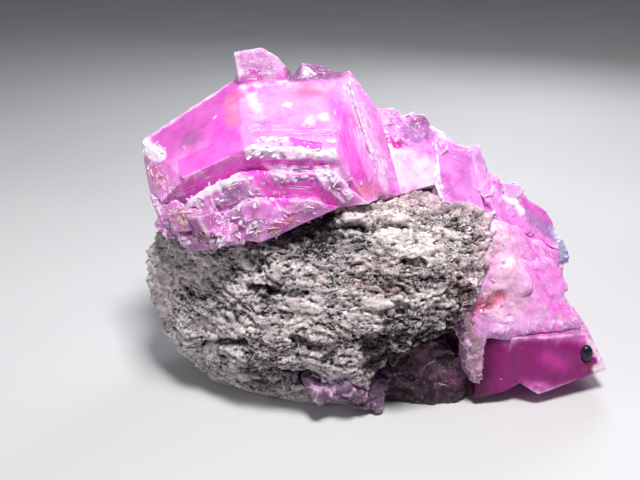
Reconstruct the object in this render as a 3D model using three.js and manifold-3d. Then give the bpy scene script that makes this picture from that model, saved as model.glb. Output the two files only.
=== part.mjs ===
// Cobaltoan calcite hand specimen: a grey foliated rock with pink calcite crystals grown over its top and right.
// Millimetres, +Z up. X runs along the longest side, -Y is the front, and the rock rests on a flat at Z = 0.

import * as THREE from 'three';
import { ConvexGeometry } from 'three/addons/geometries/ConvexGeometry.js';
import { ImprovedNoise } from 'three/addons/math/ImprovedNoise.js';
import { mergeVertices } from 'three/addons/utils/BufferGeometryUtils.js';
import Module from 'manifold-3d';

const wasm = await Module();
wasm.setup();

// ---- driving dimensions -------------------------------------------------------------------------

const GAP = 0.3; // clearance between neighbouring solids
const GROWTH = 0.46; // how far corners move out when a crystal is used as a cutter; leaves about GAP on its faces
const FLOOR = 0; // the resting plane
const BEYOND = 200; // side of the block that trims everything under the resting plane

const ROCK = {
  left: -27.4,
  right: 15.0,
  endRoundness: 3.4, // superellipse exponent along X
  ringRoundness: 2.35, // superellipse exponent across the rock
  lean: 2.3, // the front leans back by this much from bottom to top
  around: 46,
  along: 44,
};

// Cross-sections of the rock: x, lowest z, highest z, front y, back y.
const ROCK_SECTIONS = [
  [-27.4, 5.0, 19.4, -8.0, 6.5],
  [-23.0, 1.4, 22.0, -9.8, 8.8],
  [-17.0, -1.4, 24.4, -11.4, 10.4],
  [-10.0, -2.4, 26.6, -13.0, 11.6],
  [-3.0, -2.6, 27.2, -13.8, 12.0],
  [3.0, -2.2, 25.4, -13.6, 12.0],
  [7.5, 2.6, 24.6, -13.2, 11.2],
  [11.0, 8.6, 24.4, -12.0, 10.4],
  [15.0, 14.0, 23.4, -8.6, 8.6],
];

// Layers of the rock dip a little to the right; each ledge stands out from the layer under it.
const LAYERS = { pitch: 3.1, dip: 0.13, relief: 0.6, waviness: 0.5, waveLength: 7.0, wavePhase: 3.1 };
const LUMPS = {
  phase: [11.3, 4.7, 2.9],
  waves: [
    { size: 9.0, height: 0.95 },
    { size: 3.6, height: 0.5 },
  ],
};

// Hollows weathered into the rock: centre, half sizes, and turn about Y in degrees.
const HOLLOWS = [
  { at: [-7.6, -11.4, 21.2], half: [3.2, 3.0, 1.7], turn: -22 }, // pocket under the big crystal
  { at: [3.4, -12.4, 18.9], half: [2.2, 1.6, 0.4], turn: 3 }, // crack under the brow
  { at: [6.8, -13.2, 5.6], half: [8.4, 6.2, 4.7], turn: -19 }, // overhang at the lower right
  { at: [1.6, -14.2, 13.4], half: [2.2, 1.7, 0.5], turn: -10 }, // small crack
  { at: [-8.0, -14.2, 9.6], half: [2.6, 1.6, 0.9], turn: 24 }, // broken step low on the front
];

const RHOMB_ANGLE = THREE.MathUtils.degToRad(63.75); // tilt of a cleavage edge from the three-fold axis

// ---- solids -------------------------------------------------------------------------------------

/** Turns a closed three.js geometry into a solid that can be joined and cut. */
function toSolid(geometry) {
  const bare = geometry.clone();
  bare.deleteAttribute('normal');
  bare.deleteAttribute('uv');
  const merged = mergeVertices(bare, 1e-4);
  return new wasm.Manifold(new wasm.Mesh({
    numProp: 3,
    vertProperties: new Float32Array(merged.attributes.position.array),
    triVerts: new Uint32Array(merged.index.array),
  }));
}

/** Turns a solid back into a three.js geometry. */
function toGeometry(solid) {
  const mesh = solid.getMesh();
  const geometry = new THREE.BufferGeometry();
  geometry.setAttribute('position', new THREE.BufferAttribute(mesh.vertProperties, 3));
  geometry.setIndex(new THREE.BufferAttribute(mesh.triVerts, 1));
  geometry.computeVertexNormals();
  return geometry;
}

/** One crystal from its corners; grow moves every corner away from the middle. */
function crystal(corners, grow) {
  const points = corners.map(([x, y, z]) => new THREE.Vector3(x, y, z));
  const middle = new THREE.Vector3();
  points.forEach((point) => middle.addScaledVector(point, 1 / points.length));
  points.forEach((point) => point.add(point.clone().sub(middle).setLength(grow)));
  return toSolid(new ConvexGeometry(points));
}

/** Several crystals grown together, joined in one solid. */
function cluster(crystals, grow = 0) {
  return crystals.map((corners) => crystal(corners, grow)).reduce((joined, next) => joined.add(next));
}

/** Corners of a calcite cleavage rhomb: middle, three edge lengths, and turns about X, Y and Z in degrees. */
function rhomb(middle, edges, turns) {
  const turn = new THREE.Euler(...turns.map(THREE.MathUtils.degToRad));
  const axes = [0, 1, 2].map((side) => {
    const around = (side * 2 * Math.PI) / 3;
    const tilt = Math.sin(RHOMB_ANGLE);
    const axis = new THREE.Vector3(tilt * Math.cos(around), tilt * Math.sin(around), Math.cos(RHOMB_ANGLE));
    return axis.applyEuler(turn).multiplyScalar(edges[side] / 2);
  });
  const corners = [];
  for (const a of [-1, 1]) {
    for (const b of [-1, 1]) {
      for (const c of [-1, 1]) {
        const corner = new THREE.Vector3(...middle);
        [a, b, c].forEach((sign, side) => corner.addScaledVector(axes[side], sign));
        corners.push(corner.toArray());
      }
    }
  }
  return corners;
}

/** Keeps the largest body of a solid, without the crumbs that a cut can leave. */
function largest(solid) {
  return solid.decompose().reduce((best, piece) => (piece.volume() > best.volume() ? piece : best));
}

/** Everything above the resting plane. */
function aboveFloor(solid) {
  const block = new THREE.BoxGeometry(BEYOND, BEYOND, BEYOND).translate(0, 0, FLOOR - BEYOND / 2);
  return solid.subtract(toSolid(block));
}

// ---- rock ---------------------------------------------------------------------------------------

const noise = new ImprovedNoise();

function sectionAt(x) {
  const next = Math.max(1, ROCK_SECTIONS.findIndex((section) => section[0] >= x));
  const [from, to] = [ROCK_SECTIONS[next - 1], ROCK_SECTIONS[next]];
  const share = (x - from[0]) / (to[0] - from[0]);
  return from.map((value, index) => THREE.MathUtils.lerp(value, to[index], share));
}

/** A power that keeps the sign, for superellipses. */
function bend(value, power) {
  return Math.sign(value) * Math.abs(value) ** power;
}

/** Moves one point of the unit sphere, whose poles lie on X, onto the rock. */
function ontoRock(unit) {
  const middle = (ROCK.left + ROCK.right) / 2;
  const reach = (ROCK.right - ROCK.left) / 2;
  const along = bend(unit.x, 0.8);
  const x = middle + reach * along;
  const [, low, high, front, back] = sectionAt(x);
  const round = (1 - Math.abs(along) ** ROCK.endRoundness) ** (1 / ROCK.endRoundness);
  const around = Math.atan2(unit.z, unit.y);
  const across = bend(Math.cos(around), 2 / ROCK.ringRoundness) * round;
  const up = bend(Math.sin(around), 2 / ROCK.ringRoundness) * round;
  const point = new THREE.Vector3(
    x,
    (front + back) / 2 + (across * (back - front)) / 2 + ROCK.lean * up,
    (low + high) / 2 + (up * (high - low)) / 2,
  );
  const outward = new THREE.Vector3(along ** 3, across, up).normalize();
  return point.addScaledVector(outward, surfaceRelief(point));
}

/** Height of lumps and layer ledges at a point of the rock. */
function surfaceRelief(point) {
  const [alongX, alongY, alongZ] = LUMPS.phase;
  const lumps = LUMPS.waves.reduce((sum, { size, height }) =>
    sum + height * noise.noise(point.x / size + alongX, point.y / size + alongY, point.z / size + alongZ), 0);
  const wave = noise.noise(point.x / LAYERS.waveLength, point.y / LAYERS.waveLength, LAYERS.wavePhase);
  const layer = (point.z + LAYERS.dip * point.x) / LAYERS.pitch + LAYERS.waviness * wave;
  const ledge = (layer - Math.floor(layer)) ** 2;
  return lumps + LAYERS.relief * (ledge - 0.5);
}

function rockBody() {
  const geometry = new THREE.SphereGeometry(1, ROCK.around, ROCK.along);
  geometry.rotateZ(-Math.PI / 2);
  const position = geometry.attributes.position;
  const unit = new THREE.Vector3();
  for (let index = 0; index < position.count; index += 1) {
    unit.fromBufferAttribute(position, index);
    position.setXYZ(index, ...ontoRock(unit).toArray());
  }
  return toSolid(geometry);
}

function hollow({ at, half, turn }) {
  const geometry = new THREE.SphereGeometry(1, 14, 9);
  geometry.scale(...half);
  geometry.rotateY(THREE.MathUtils.degToRad(turn));
  geometry.translate(...at);
  return toSolid(geometry);
}

// ---- crystals -----------------------------------------------------------------------------------

// The big stepped crystal: an upper shell with three broad faces, two lower terraces, and small crystals on its rim.
const MAIN_CRYSTAL = [
  [ // upper shell: left tip, apex, right shoulder, right flank, then the lower rim of the three faces
    [-28.0, 3.8, 27.8], [-27.7, 2.6, 25.6], [-16.0, 3.2, 35.5], [-3.1, 2.2, 36.3], [-0.3, 1.4, 32.2],
    [2.2, -4.4, 24.2], [-14.4, -8.0, 30.3], [-4.9, -8.0, 29.8], [-1.4, -7.6, 24.2], [-21.5, -6.0, 26.4],
    [-26.9, 0.6, 22.6], [-24.4, -4.4, 23.2], [-25.0, -2.4, 20.8], [-23.8, 9.6, 26.0], [-14.5, 12.0, 30.4],
    [-4.0, 11.5, 30.2], [2.0, 8.0, 26.0], [3.0, 6.0, 19.0], [-25.0, 9.0, 18.5], [-14.0, 12.6, 17.5],
    [-3.0, 12.0, 18.0],
  ],
  rhomb([-18.2, 9.8, 24.2], [9.5, 8.5, 9.0], [12, 22, 6]), // terraces down the back
  rhomb([-8.4, 10.6, 24.6], [9.0, 9.5, 8.5], [28, 10, 20]),
  rhomb([-13.6, 12.4, 20.6], [7.0, 6.5, 6.5], [-14, 30, 44]),
  [ // middle terrace
    [-20.8, -7.2, 24.1], [-15.0, -9.0, 27.9], [-5.6, -9.0, 28.0], [-1.6, -8.0, 24.4], [-23.2, -5.6, 21.4],
    [-3.2, -8.3, 24.2], [-20.0, -8.0, 21.2], [-7.8, -9.0, 24.0], [-22.0, 2.0, 20.0], [-4.0, 2.0, 20.0],
    [-15.0, 2.0, 26.0], [-5.0, 2.0, 26.6],
  ],
  [ // lower terrace, standing furthest forward
    [-18.8, -8.9, 22.7], [-13.0, -10.0, 25.3], [-7.4, -9.8, 25.1], [-4.8, -9.1, 24.2], [-18.6, -9.0, 21.0],
    [-13.0, -10.4, 20.8], [-10.8, -10.2, 22.4], [-8.4, -9.8, 23.9], [-19.0, 0.0, 20.0], [-5.0, 0.0, 20.0],
    [-12.0, 0.0, 24.0],
  ],
  [ // clear knob on the apex
    [-16.2, 2.8, 34.4], [-16.1, 2.4, 38.5], [-13.1, 2.2, 39.1], [-11.5, 2.4, 38.1], [-9.9, 2.6, 36.2],
    [-15.6, 1.6, 34.8], [-10.2, 1.5, 35.2], [-15.4, 7.5, 36.8], [-11.8, 7.4, 36.4], [-10.4, 7.0, 34.0],
    [-15.8, 8.0, 33.0],
  ],
  [ // low peak on the rim
    [-10.2, 3.0, 34.6], [-8.5, 3.2, 37.1], [-6.4, 3.4, 36.8], [-4.8, 3.3, 36.0], [-3.9, 2.8, 34.6],
    [-9.6, 0.8, 34.2], [-4.2, 0.8, 34.2], [-9.0, 7.6, 34.8], [-4.6, 7.2, 34.2],
  ],
  [ // fibrous slab along the right flank
    [-3.3, 2.0, 36.5], [-1.9, 1.8, 34.9], [-0.1, 1.2, 32.5], [1.0, -1.0, 29.2], [2.5, -4.9, 24.2],
    [0.8, -5.9, 23.6], [-1.25, -4.15, 29.8], [-3.1, -0.6, 34.9], [-2.6, 5.0, 34.0], [1.4, 4.0, 29.0],
    [3.2, 2.0, 23.0], [0.0, 0.0, 23.0],
  ],
];

// Small clear crystals under the left end of the big one.
const LEFT_CRYSTALS = [
  [ // thin slab on the outline
    [-26.7, -0.8, 22.8], [-25.6, -3.6, 22.8], [-26.0, -1.2, 21.0], [-24.9, -3.4, 20.0], [-23.6, -5.4, 20.2],
    [-24.2, -5.8, 22.4], [-23.4, 1.0, 22.0], [-23.4, 1.0, 19.8],
  ],
  rhomb([-21.2, -8.1, 22.4], [2.4, 2.0, 2.6], [18, 24, 10]),
  rhomb([-18.9, -9.1, 22.3], [2.6, 2.2, 2.6], [-12, 38, 62]),
  rhomb([-22.8, -6.9, 21.8], [2.3, 2.4, 2.2], [40, -8, 25]),
  rhomb([-16.2, -10.0, 21.4], [1.8, 2.2, 1.7], [12, 8, 95]),
  rhomb([-19.8, -8.6, 20.8], [2.6, 1.8, 2.2], [72, 12, 5]),
  rhomb([-17.4, -9.6, 21.2], [1.9, 1.7, 2.1], [-30, 20, 30]),
];

// The crust over the crest, from the big crystal's right flank down to the right end, and on over the back.
const CREST_CRYSTALS = [
  [ // white massive calcite beside the big crystal
    [-1.6, 4.2, 31.6], [2.2, 4.0, 31.7], [3.3, 3.9, 31.0], [4.4, 3.0, 29.4], [2.6, -4.2, 24.0],
    [7.2, -2.2, 24.6], [6.6, 0.4, 27.8], [0.0, -3.0, 27.6], [0.0, 9.0, 28.0], [6.0, 9.0, 27.0],
    [0.0, 4.0, 20.0], [7.0, 4.0, 20.0],
  ],
  [ // violet crystal with an upright edge
    [3.4, 4.8, 30.8], [6.1, 4.8, 30.7], [6.6, 4.2, 29.8], [5.6, 0.8, 27.4], [3.9, 0.9, 28.0],
    [7.4, 7.8, 25.0], [3.0, 8.0, 26.0], [4.0, 2.0, 23.0], [7.0, 2.0, 23.0],
  ],
  [ // pale corner
    [6.0, 4.6, 29.9], [8.4, 3.6, 28.7], [8.6, 0.8, 27.8], [6.0, -0.6, 26.0], [6.2, 8.4, 27.0],
    [9.0, 8.0, 25.0], [9.0, 2.0, 22.0], [6.0, 2.0, 22.0],
  ],
  [ // pink rhomb
    [7.3, 2.2, 28.7], [11.6, 2.0, 27.2], [6.5, -1.4, 25.6], [7.4, -4.6, 23.2], [12.3, -3.8, 21.8],
    [8.4, 8.6, 26.8], [12.6, 8.2, 24.8], [12.6, 6.0, 19.0], [7.0, 6.0, 19.0],
  ],
  [ // upright tooth
    [11.2, 3.4, 27.0], [12.8, 4.0, 27.2], [13.3, 2.6, 25.4], [14.2, 2.0, 23.4], [12.2, -2.6, 21.6],
    [14.0, -2.4, 20.6], [12.4, 8.8, 24.0], [14.6, 8.0, 21.0], [12.0, 5.0, 18.0],
  ],
  [ // step behind the tooth
    [13.4, 3.4, 24.4], [15.1, 3.2, 23.3], [16.0, 2.6, 21.6], [14.0, -2.4, 20.4], [16.2, -1.6, 18.8],
    [14.6, 9.4, 21.0], [17.0, 9.0, 18.6], [14.0, 4.0, 16.0],
  ],
  [ // rounded slab
    [16.2, 3.2, 22.3], [18.1, 4.0, 21.9], [19.4, 4.0, 20.4], [16.2, 0.4, 20.2], [19.2, 0.8, 18.6],
    [16.4, 8.6, 20.2], [19.4, 8.8, 18.4], [17.0, 4.0, 15.0],
  ],
  [ // white wedge pointing down to the right
    [15.8, 1.4, 21.2], [17.4, 1.4, 20.8], [20.0, 0.6, 18.6], [19.2, -1.2, 17.2], [16.0, -1.4, 19.0],
    [17.0, 5.0, 16.0],
  ],
  [ // deep pink crystal at the right end
    [19.0, 4.0, 20.5], [22.1, 4.0, 18.4], [23.3, 2.6, 16.7], [22.7, -0.4, 15.4], [18.9, -0.8, 17.0],
    [19.2, 0.8, 19.0], [21.8, 9.2, 15.6], [18.6, 9.4, 17.8], [20.0, 5.0, 12.0],
  ],
  rhomb([22.2, 1.4, 14.6], [3.0, 3.2, 3.2], [24, 30, 20]),
  rhomb([6.0, 10.4, 22.4], [7.4, 6.6, 7.2], [30, 14, 40]),
  rhomb([13.2, 9.6, 18.2], [7.0, 6.2, 6.6], [-22, 28, 12]),
  rhomb([-0.6, 12.2, 18.4], [6.2, 7.0, 6.0], [48, -16, 70]),
  rhomb([18.4, 8.4, 13.0], [6.2, 5.8, 6.4], [16, 42, 30]),
  rhomb([7.8, 12.4, 14.2], [6.4, 5.4, 6.6], [62, 20, 8]),
];

// Pale massive calcite under the crest on the right flank, with the pink cleavage blocks on its outline.
const FLANK_CALCITE = [
  [ // massive body
    [13.8, -3.6, 20.2], [18.4, -1.6, 17.6], [12.6, -7.4, 16.8], [10.2, -9.3, 13.6], [9.6, -9.8, 9.0],
    [15.2, -9.9, 8.3], [19.4, -9.5, 8.2], [25.0, -7.0, 7.6], [18.0, -6.8, 12.0], [13.0, 8.0, 17.0],
    [20.0, 8.0, 13.0], [20.0, 8.0, 6.0], [9.0, 6.0, 7.0], [9.0, -5.0, 7.6],
  ],
  [ // pink blocks on the outline
    [18.0, -1.8, 17.6], [22.8, -0.6, 15.2], [23.8, 0.2, 13.2], [23.2, -1.0, 11.2], [22.9, -2.2, 8.9],
    [17.4, -5.4, 10.2], [16.6, -4.6, 14.6], [22.4, 6.4, 9.0], [22.0, 6.4, 13.6], [17.0, 6.0, 15.0],
  ],
  [ // vein running down between the rock and the corner crystal
    [9.4, -11.0, 12.6], [10.4, -10.8, 12.4], [10.5, -11.2, 8.4], [12.2, -10.6, 8.2], [10.9, -11.3, 3.4],
    [12.2, -11.2, 2.8], [9.8, -8.4, 9.4], [12.6, -8.0, 9.4], [10.6, -8.6, 3.6], [12.2, -8.6, 3.2],
  ],
  rhomb([14.8, -5.8, 14.6], [4.4, 4.0, 4.4], [34, 10, 15]),
  rhomb([20.0, -3.2, 12.8], [4.2, 4.2, 4.0], [-14, 36, 50]),
];

// The cleaved crystal at the lower right corner, and the smaller one against its left side.
const CORNER_CRYSTAL = [
  [ // main cleavage block: front face, then its top, right edge and back
    [15.6, -10.0, 8.3], [19.4, -9.8, 8.2], [25.2, -7.6, 7.4], [27.7, -8.2, 3.1], [19.1, -11.2, 1.7],
    [17.3, -10.8, 3.2], [15.6, -10.2, 3.8], [24.9, -2.0, 8.0], [26.2, -3.4, 6.4], [27.6, -5.2, 3.4],
    [20.0, 1.0, 8.4], [15.6, -3.0, 8.4], [26.6, 0.0, 3.2], [20.0, -1.0, 1.0], [15.6, -3.0, 1.6],
  ],
  [ // smaller crystal on the left
    [12.3, -9.5, 7.7], [16.0, -9.8, 7.7], [17.6, -10.2, 3.0], [15.1, -10.9, 1.9], [11.8, -11.2, 1.2],
    [12.2, -4.0, 7.4], [17.0, -3.0, 7.4], [16.0, -2.0, 1.2], [12.0, -3.0, 1.0],
  ],
];

// Dark translucent calcite under the overhang, down to the resting plane.
const UNDERSIDE_CALCITE = [
  [ // dark mass in the shade of the overhang
    [1.0, -10.6, -0.6], [6.2, -11.4, -0.6], [10.6, -10.4, -0.6], [10.8, -9.0, 4.6], [7.6, -8.2, 6.6],
    [3.0, -8.2, 5.6], [-0.6, -10.2, 2.6], [0.0, -4.0, -0.6], [10.6, -3.0, -0.6], [9.8, -4.0, 6.6],
    [0.0, -5.0, 4.6],
  ],
  rhomb([-6.2, -11.7, 4.1], [3.8, 3.4, 3.4], [8, 16, 30]),
  rhomb([-3.4, -11.8, 3.5], [3.6, 3.4, 3.2], [-10, 10, 80]),
  rhomb([-0.8, -11.0, 2.4], [3.6, 3.2, 3.0], [30, -20, 55]),
];

// A shiny black bead of another mineral, half sunk in the corner crystal's right edge.
const BEAD = { at: [25.05, -8.5, 5.35], half: [0.86, 0.75, 1.12], tilt: 14 };

function beadSolid(grow) {
  const geometry = new THREE.SphereGeometry(1, 20, 12);
  geometry.scale(...BEAD.half.map((half) => half + grow));
  geometry.rotateY(THREE.MathUtils.degToRad(BEAD.tilt));
  geometry.translate(...BEAD.at);
  return toSolid(geometry);
}

// ---- assembly -----------------------------------------------------------------------------------

const bead = beadSolid(0);
const mainCrystal = cluster(MAIN_CRYSTAL);
const mainCutter = cluster(MAIN_CRYSTAL, GROWTH);
const leftCrystals = largest(cluster(LEFT_CRYSTALS).subtract(mainCutter));
const crestCrystals = largest(cluster(CREST_CRYSTALS).subtract(mainCutter));
const crestCutter = cluster(CREST_CRYSTALS, GROWTH);
const cornerCrystal = largest(aboveFloor(cluster(CORNER_CRYSTAL)).subtract(beadSolid(GAP / 2)));
const cornerCutter = cluster(CORNER_CRYSTAL, GROWTH);
const flankCalcite = largest(cluster(FLANK_CALCITE).subtract(crestCutter).subtract(cornerCutter));
const flankCutter = cluster(FLANK_CALCITE, GROWTH);
const undersideCalcite = largest(
  aboveFloor(cluster(UNDERSIDE_CALCITE)).subtract(cornerCutter).subtract(flankCutter),
);

const cutters = [
  mainCutter,
  cluster(LEFT_CRYSTALS, GROWTH),
  crestCutter,
  flankCutter,
  cornerCutter,
  cluster(UNDERSIDE_CALCITE, GROWTH),
  ...HOLLOWS.map(hollow),
];
const matrix = largest(cutters.reduce((rock, cutter) => rock.subtract(cutter), aboveFloor(rockBody())));

const FINISHES = {
  matrix: { solid: matrix, color: 0x8f897e, roughness: 0.95 },
  main_crystal: { solid: mainCrystal, color: 0xe86fc4, roughness: 0.35 },
  left_crystals: { solid: leftCrystals, color: 0xcdb6dd, roughness: 0.3 },
  crest_crystals: { solid: crestCrystals, color: 0xeda3dd, roughness: 0.4 },
  flank_calcite: { solid: flankCalcite, color: 0xf3b9cf, roughness: 0.5 },
  corner_crystal: { solid: cornerCrystal, color: 0xb0298c, roughness: 0.3 },
  underside_calcite: { solid: undersideCalcite, color: 0x6b4258, roughness: 0.45 },
  dark_bead: { solid: bead, color: 0x0b0c14, roughness: 0.1 },
};

const specimen = new THREE.Group();
for (const [name, { solid, color, roughness }] of Object.entries(FINISHES)) {
  const material = new THREE.MeshStandardMaterial({ color, roughness, metalness: 0 });
  const mesh = new THREE.Mesh(toGeometry(solid), material);
  mesh.name = name;
  specimen.add(mesh);
}

export default specimen;
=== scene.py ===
"""Cobaltoan calcite hand specimen: the looks of the rock, the crystals grown on it, and a small studio."""

import logging
import math
from dataclasses import dataclass, field
from enum import Enum
from itertools import product
from typing import Any

import bmesh
import bpy
import numpy as np
from mathutils import Euler, Matrix, Vector


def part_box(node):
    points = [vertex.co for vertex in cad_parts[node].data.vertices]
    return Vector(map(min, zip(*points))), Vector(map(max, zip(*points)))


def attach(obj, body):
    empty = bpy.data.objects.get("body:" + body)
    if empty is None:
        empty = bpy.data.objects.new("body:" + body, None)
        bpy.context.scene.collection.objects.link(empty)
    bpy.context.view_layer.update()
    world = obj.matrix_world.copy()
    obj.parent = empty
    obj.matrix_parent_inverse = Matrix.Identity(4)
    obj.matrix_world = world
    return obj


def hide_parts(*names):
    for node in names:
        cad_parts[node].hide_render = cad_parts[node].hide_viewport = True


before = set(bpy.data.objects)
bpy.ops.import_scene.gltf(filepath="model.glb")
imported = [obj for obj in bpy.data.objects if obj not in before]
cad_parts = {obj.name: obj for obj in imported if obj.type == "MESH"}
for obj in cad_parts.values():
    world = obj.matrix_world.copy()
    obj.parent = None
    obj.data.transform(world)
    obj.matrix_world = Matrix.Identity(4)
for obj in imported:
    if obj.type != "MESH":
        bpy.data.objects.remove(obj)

LOG = logging.getLogger("specimen")
MM = 0.001
BODY = "root"
# between a calcite rhomb's edges and its threefold axis
RHOMB_ANGLE = math.radians(63.75)
# mesh edges sharper than this stay crisp
CREASE_ANGLE = math.radians(32)
# rounds of smoothing where a piece's edges are taken off more
SOFTEN_ROUNDS = 80
BLOCK_CORNERS = 8
Colour = tuple[float, float, float]
Point = tuple[float, float, float]
Sizes = tuple[tuple[float, float], ...]


class Mark(Enum):
    """Names of the values that are painted on a piece's points for its finish."""

    PALE = "pale"
    ROUGH = "rough"
    STAIN = "stain"
    # darkness, much of it painted shade in hollows, creases and under overhangs
    DARK = "dark"
    ACROSS = "across"
    RISE = "rise"
    FALL = "fall"


LINES = (Mark.ACROSS, Mark.RISE, Mark.FALL)
TINT_LAYER = "tint"


class Tint(Enum):
    """Body colours that are painted on a piece's points."""

    WHITE = (0.93, 0.76, 0.91)
    MILK = (0.90, 0.62, 0.86)
    PETAL = (0.81, 0.31, 0.73)
    SHELL = (0.68, 0.33, 0.65)
    FROST = (0.84, 0.40, 0.79)
    LIGHT = (0.78, 0.24, 0.68)
    ROSE = (0.62, 0.12, 0.51)
    BRIGHT = (0.80, 0.15, 0.64)
    HOT = (0.80, 0.11, 0.61)
    CERISE = (0.82, 0.105, 0.62)
    MAGENTA = (0.54, 0.03, 0.35)
    WINE = (0.27, 0.010, 0.16)
    # near-black wine, painted as shade towards the corner crystal's hollow
    DEEP = (0.10, 0.006, 0.055)
    CORAL = (0.78, 0.22, 0.42)
    ORCHID = (0.56, 0.165, 0.54)
    VIOLET = (0.42, 0.16, 0.44)
    PLUM = (0.28, 0.11, 0.27)
    LILAC = (0.54, 0.29, 0.57)
    MAUVE = (0.42, 0.13, 0.36)
    ICE = (0.31, 0.34, 0.60)
    # near-black brown: the underside's brown-purple darkened as painted shade
    BROWN = (0.045, 0.016, 0.026)
    BLUSH = (0.84, 0.50, 0.69)
    GREY = (0.56, 0.515, 0.53)
    BEIGE = (0.70, 0.565, 0.58)
    CREAM = (0.86, 0.73, 0.74)
    DUSKY = (0.50, 0.30, 0.31)


class Noise:
    """Repeatable random fields in space, worked out for many points at once.

    Attributes:
        TABLE: How many entries its tables have, a power of two.
        REACH: Brings the waves to about -1 to 1.
        SHIFT: How far the octaves are moved against each other, in millimetres.
        FAR: Further than any spot near a point.
    """

    TABLE = 256
    REACH = 1.6
    SHIFT = 17.3
    FAR = 9.0

    def __init__(self, seed: int) -> None:
        """Draws the field's tables.

        Args:
            seed: Picks the field.
        """
        draw = np.random.default_rng(seed)
        self._order = draw.permutation(self.TABLE)
        slopes = draw.normal(size=(self.TABLE, 3))
        self._slopes = slopes / np.linalg.norm(slopes, axis=1, keepdims=True)
        self._spots = draw.random((self.TABLE, 3))
        self._values = draw.random(self.TABLE)

    def _pick(self, cell: np.ndarray) -> np.ndarray:
        """Picks a table entry for each lattice cell.

        Args:
            cell: The cells' whole-number places, one a row.

        Returns:
            The entries' numbers.
        """
        picked = np.zeros(len(cell), int)
        for axis in range(3):
            picked = self._order[(picked + cell[:, axis]) & (self.TABLE - 1)]
        return picked

    def waves(self, points: np.ndarray, size: float | Point) -> np.ndarray:
        """Smooth noise from about -1 to 1.

        Args:
            points: Points in millimetres, one a row.
            size: Wavelength in millimetres, or one for each axis.

        Returns:
            One value for each point.
        """
        scaled = points / np.asarray(size, float)
        base = np.floor(scaled).astype(int)
        inside = scaled - base
        ease = inside**3 * (inside * (inside * 6 - 15) + 10)
        total = np.zeros(len(points))
        for corner in product((0, 1), repeat=3):
            step = np.array(corner)
            slope = self._slopes[self._pick(base + step)]
            weight = np.prod(np.where(step, ease, 1 - ease), axis=1)
            total += weight * np.einsum("ij,ij->i", slope, inside - step)
        return total * self.REACH

    def rough(
        self, points: np.ndarray, size: float | Point, octaves: int = 4, gain: float = 0.5
    ) -> np.ndarray:
        """Waves of several sizes added up.

        Args:
            points: Points in millimetres, one a row.
            size: The longest wavelength.
            octaves: How many sizes are added, each half of the one before.
            gain: The strength of each size against the one before.

        Returns:
            One value for each point.
        """
        total = np.zeros(len(points))
        for octave in range(octaves):
            shifted = points + self.SHIFT * octave
            total += gain**octave * self.waves(shifted, np.asarray(size, float) / 2**octave)
        return total

    def cells(self, points: np.ndarray, size: float | Point) -> tuple[np.ndarray, np.ndarray, np.ndarray]:
        """Cells round scattered spots.

        Args:
            points: Points in millimetres, one a row.
            size: The cells' size, or one for each axis.

        Returns:
            The distance to the nearest spot, how much further the next is, and the cell's random value.
        """
        scaled = points / np.asarray(size, float)
        base = np.floor(scaled).astype(int)
        near = np.full(len(points), self.FAR)
        after = near.copy()
        value = np.zeros(len(points))
        for corner in product((-1, 0, 1), repeat=3):
            cell = base + np.array(corner)
            index = self._pick(cell)
            far = np.linalg.norm(scaled - cell - self._spots[index], axis=1)
            closer = far < near
            after = np.where(closer, near, np.minimum(after, far))
            near = np.where(closer, far, near)
            value = np.where(closer, self._values[index], value)
        return near, after - near, value

    def blocks(self, points: np.ndarray, axes: np.ndarray, size: float) -> np.ndarray:
        """A random value from 0 to 1 for each cleavage block of a crystal lattice.

        Args:
            points: Points in millimetres, one a row.
            axes: The lattice's three edge directions, one a row.
            size: The blocks' edge length in millimetres.

        Returns:
            One value for each point.
        """
        cell = np.floor(points @ np.linalg.inv(axes) / size).astype(int)
        return self._values[self._pick(cell)]

    def fibres(self, points: np.ndarray, along: Point, thin: float, long: float) -> np.ndarray:
        """Noise drawn out into parallel ribs.

        Args:
            points: Points in millimetres, one a row.
            along: The ribs' direction.
            thin: Their spacing in millimetres.
            long: Their length in millimetres.

        Returns:
            One value for each point, about -1 to 1.
        """
        turned = points @ np.array(rib_frame(along))
        return self.rough(turned / np.array((long, thin, thin)), 1.0, 2, 0.6)


def smooth_step(low: float, high: float, values: np.ndarray) -> np.ndarray:
    """A soft step from 0 at low to 1 at high."""
    share = np.clip((values - low) / (high - low), 0, 1)
    return share * share * (3 - 2 * share)


def rib_frame(along: Point) -> Matrix:
    """A turned frame whose X axis, its first column, points along a direction."""
    return Vector(along).to_track_quat("X", "Z").to_matrix()


def lattice(turns: Point) -> np.ndarray:
    """Edge directions of a calcite cleavage rhomb.

    Args:
        turns: Turns about X, Y and Z in degrees.

    Returns:
        Three unit vectors, one a row.
    """
    turn = Euler([math.radians(angle) for angle in turns]).to_matrix()
    across, up = math.sin(RHOMB_ANGLE), math.cos(RHOMB_ANGLE)
    rows = []
    for side in range(3):
        around = math.radians(120 * side)
        rows.append(turn @ Vector((across * math.cos(around), across * math.sin(around), up)))
    return np.array(rows)


def block(shape: bmesh.types.BMesh, middle: Point, edges: Point, turns: Point) -> None:
    """Adds a calcite cleavage rhomb.

    Args:
        shape: Where it is added.
        middle: Its middle in millimetres.
        edges: Its edge lengths in millimetres.
        turns: Turns about X, Y and Z in degrees.
    """
    axes = lattice(turns) * np.array(edges)[:, None] * MM
    frame_of_block = Matrix(axes.T.tolist()).to_4x4()
    frame_of_block.translation = Vector(middle) * MM
    bmesh.ops.create_cube(shape, size=1, matrix=frame_of_block)


def mesh_of(shape: bmesh.types.BMesh, name: str) -> bpy.types.Mesh:
    """Makes a mesh of a shape and frees the shape.

    Args:
        shape: The shape.
        name: The mesh's name.

    Returns:
        The mesh.
    """
    mesh = bpy.data.meshes.new(name)
    shape.to_mesh(mesh)
    shape.free()
    return mesh


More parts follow.
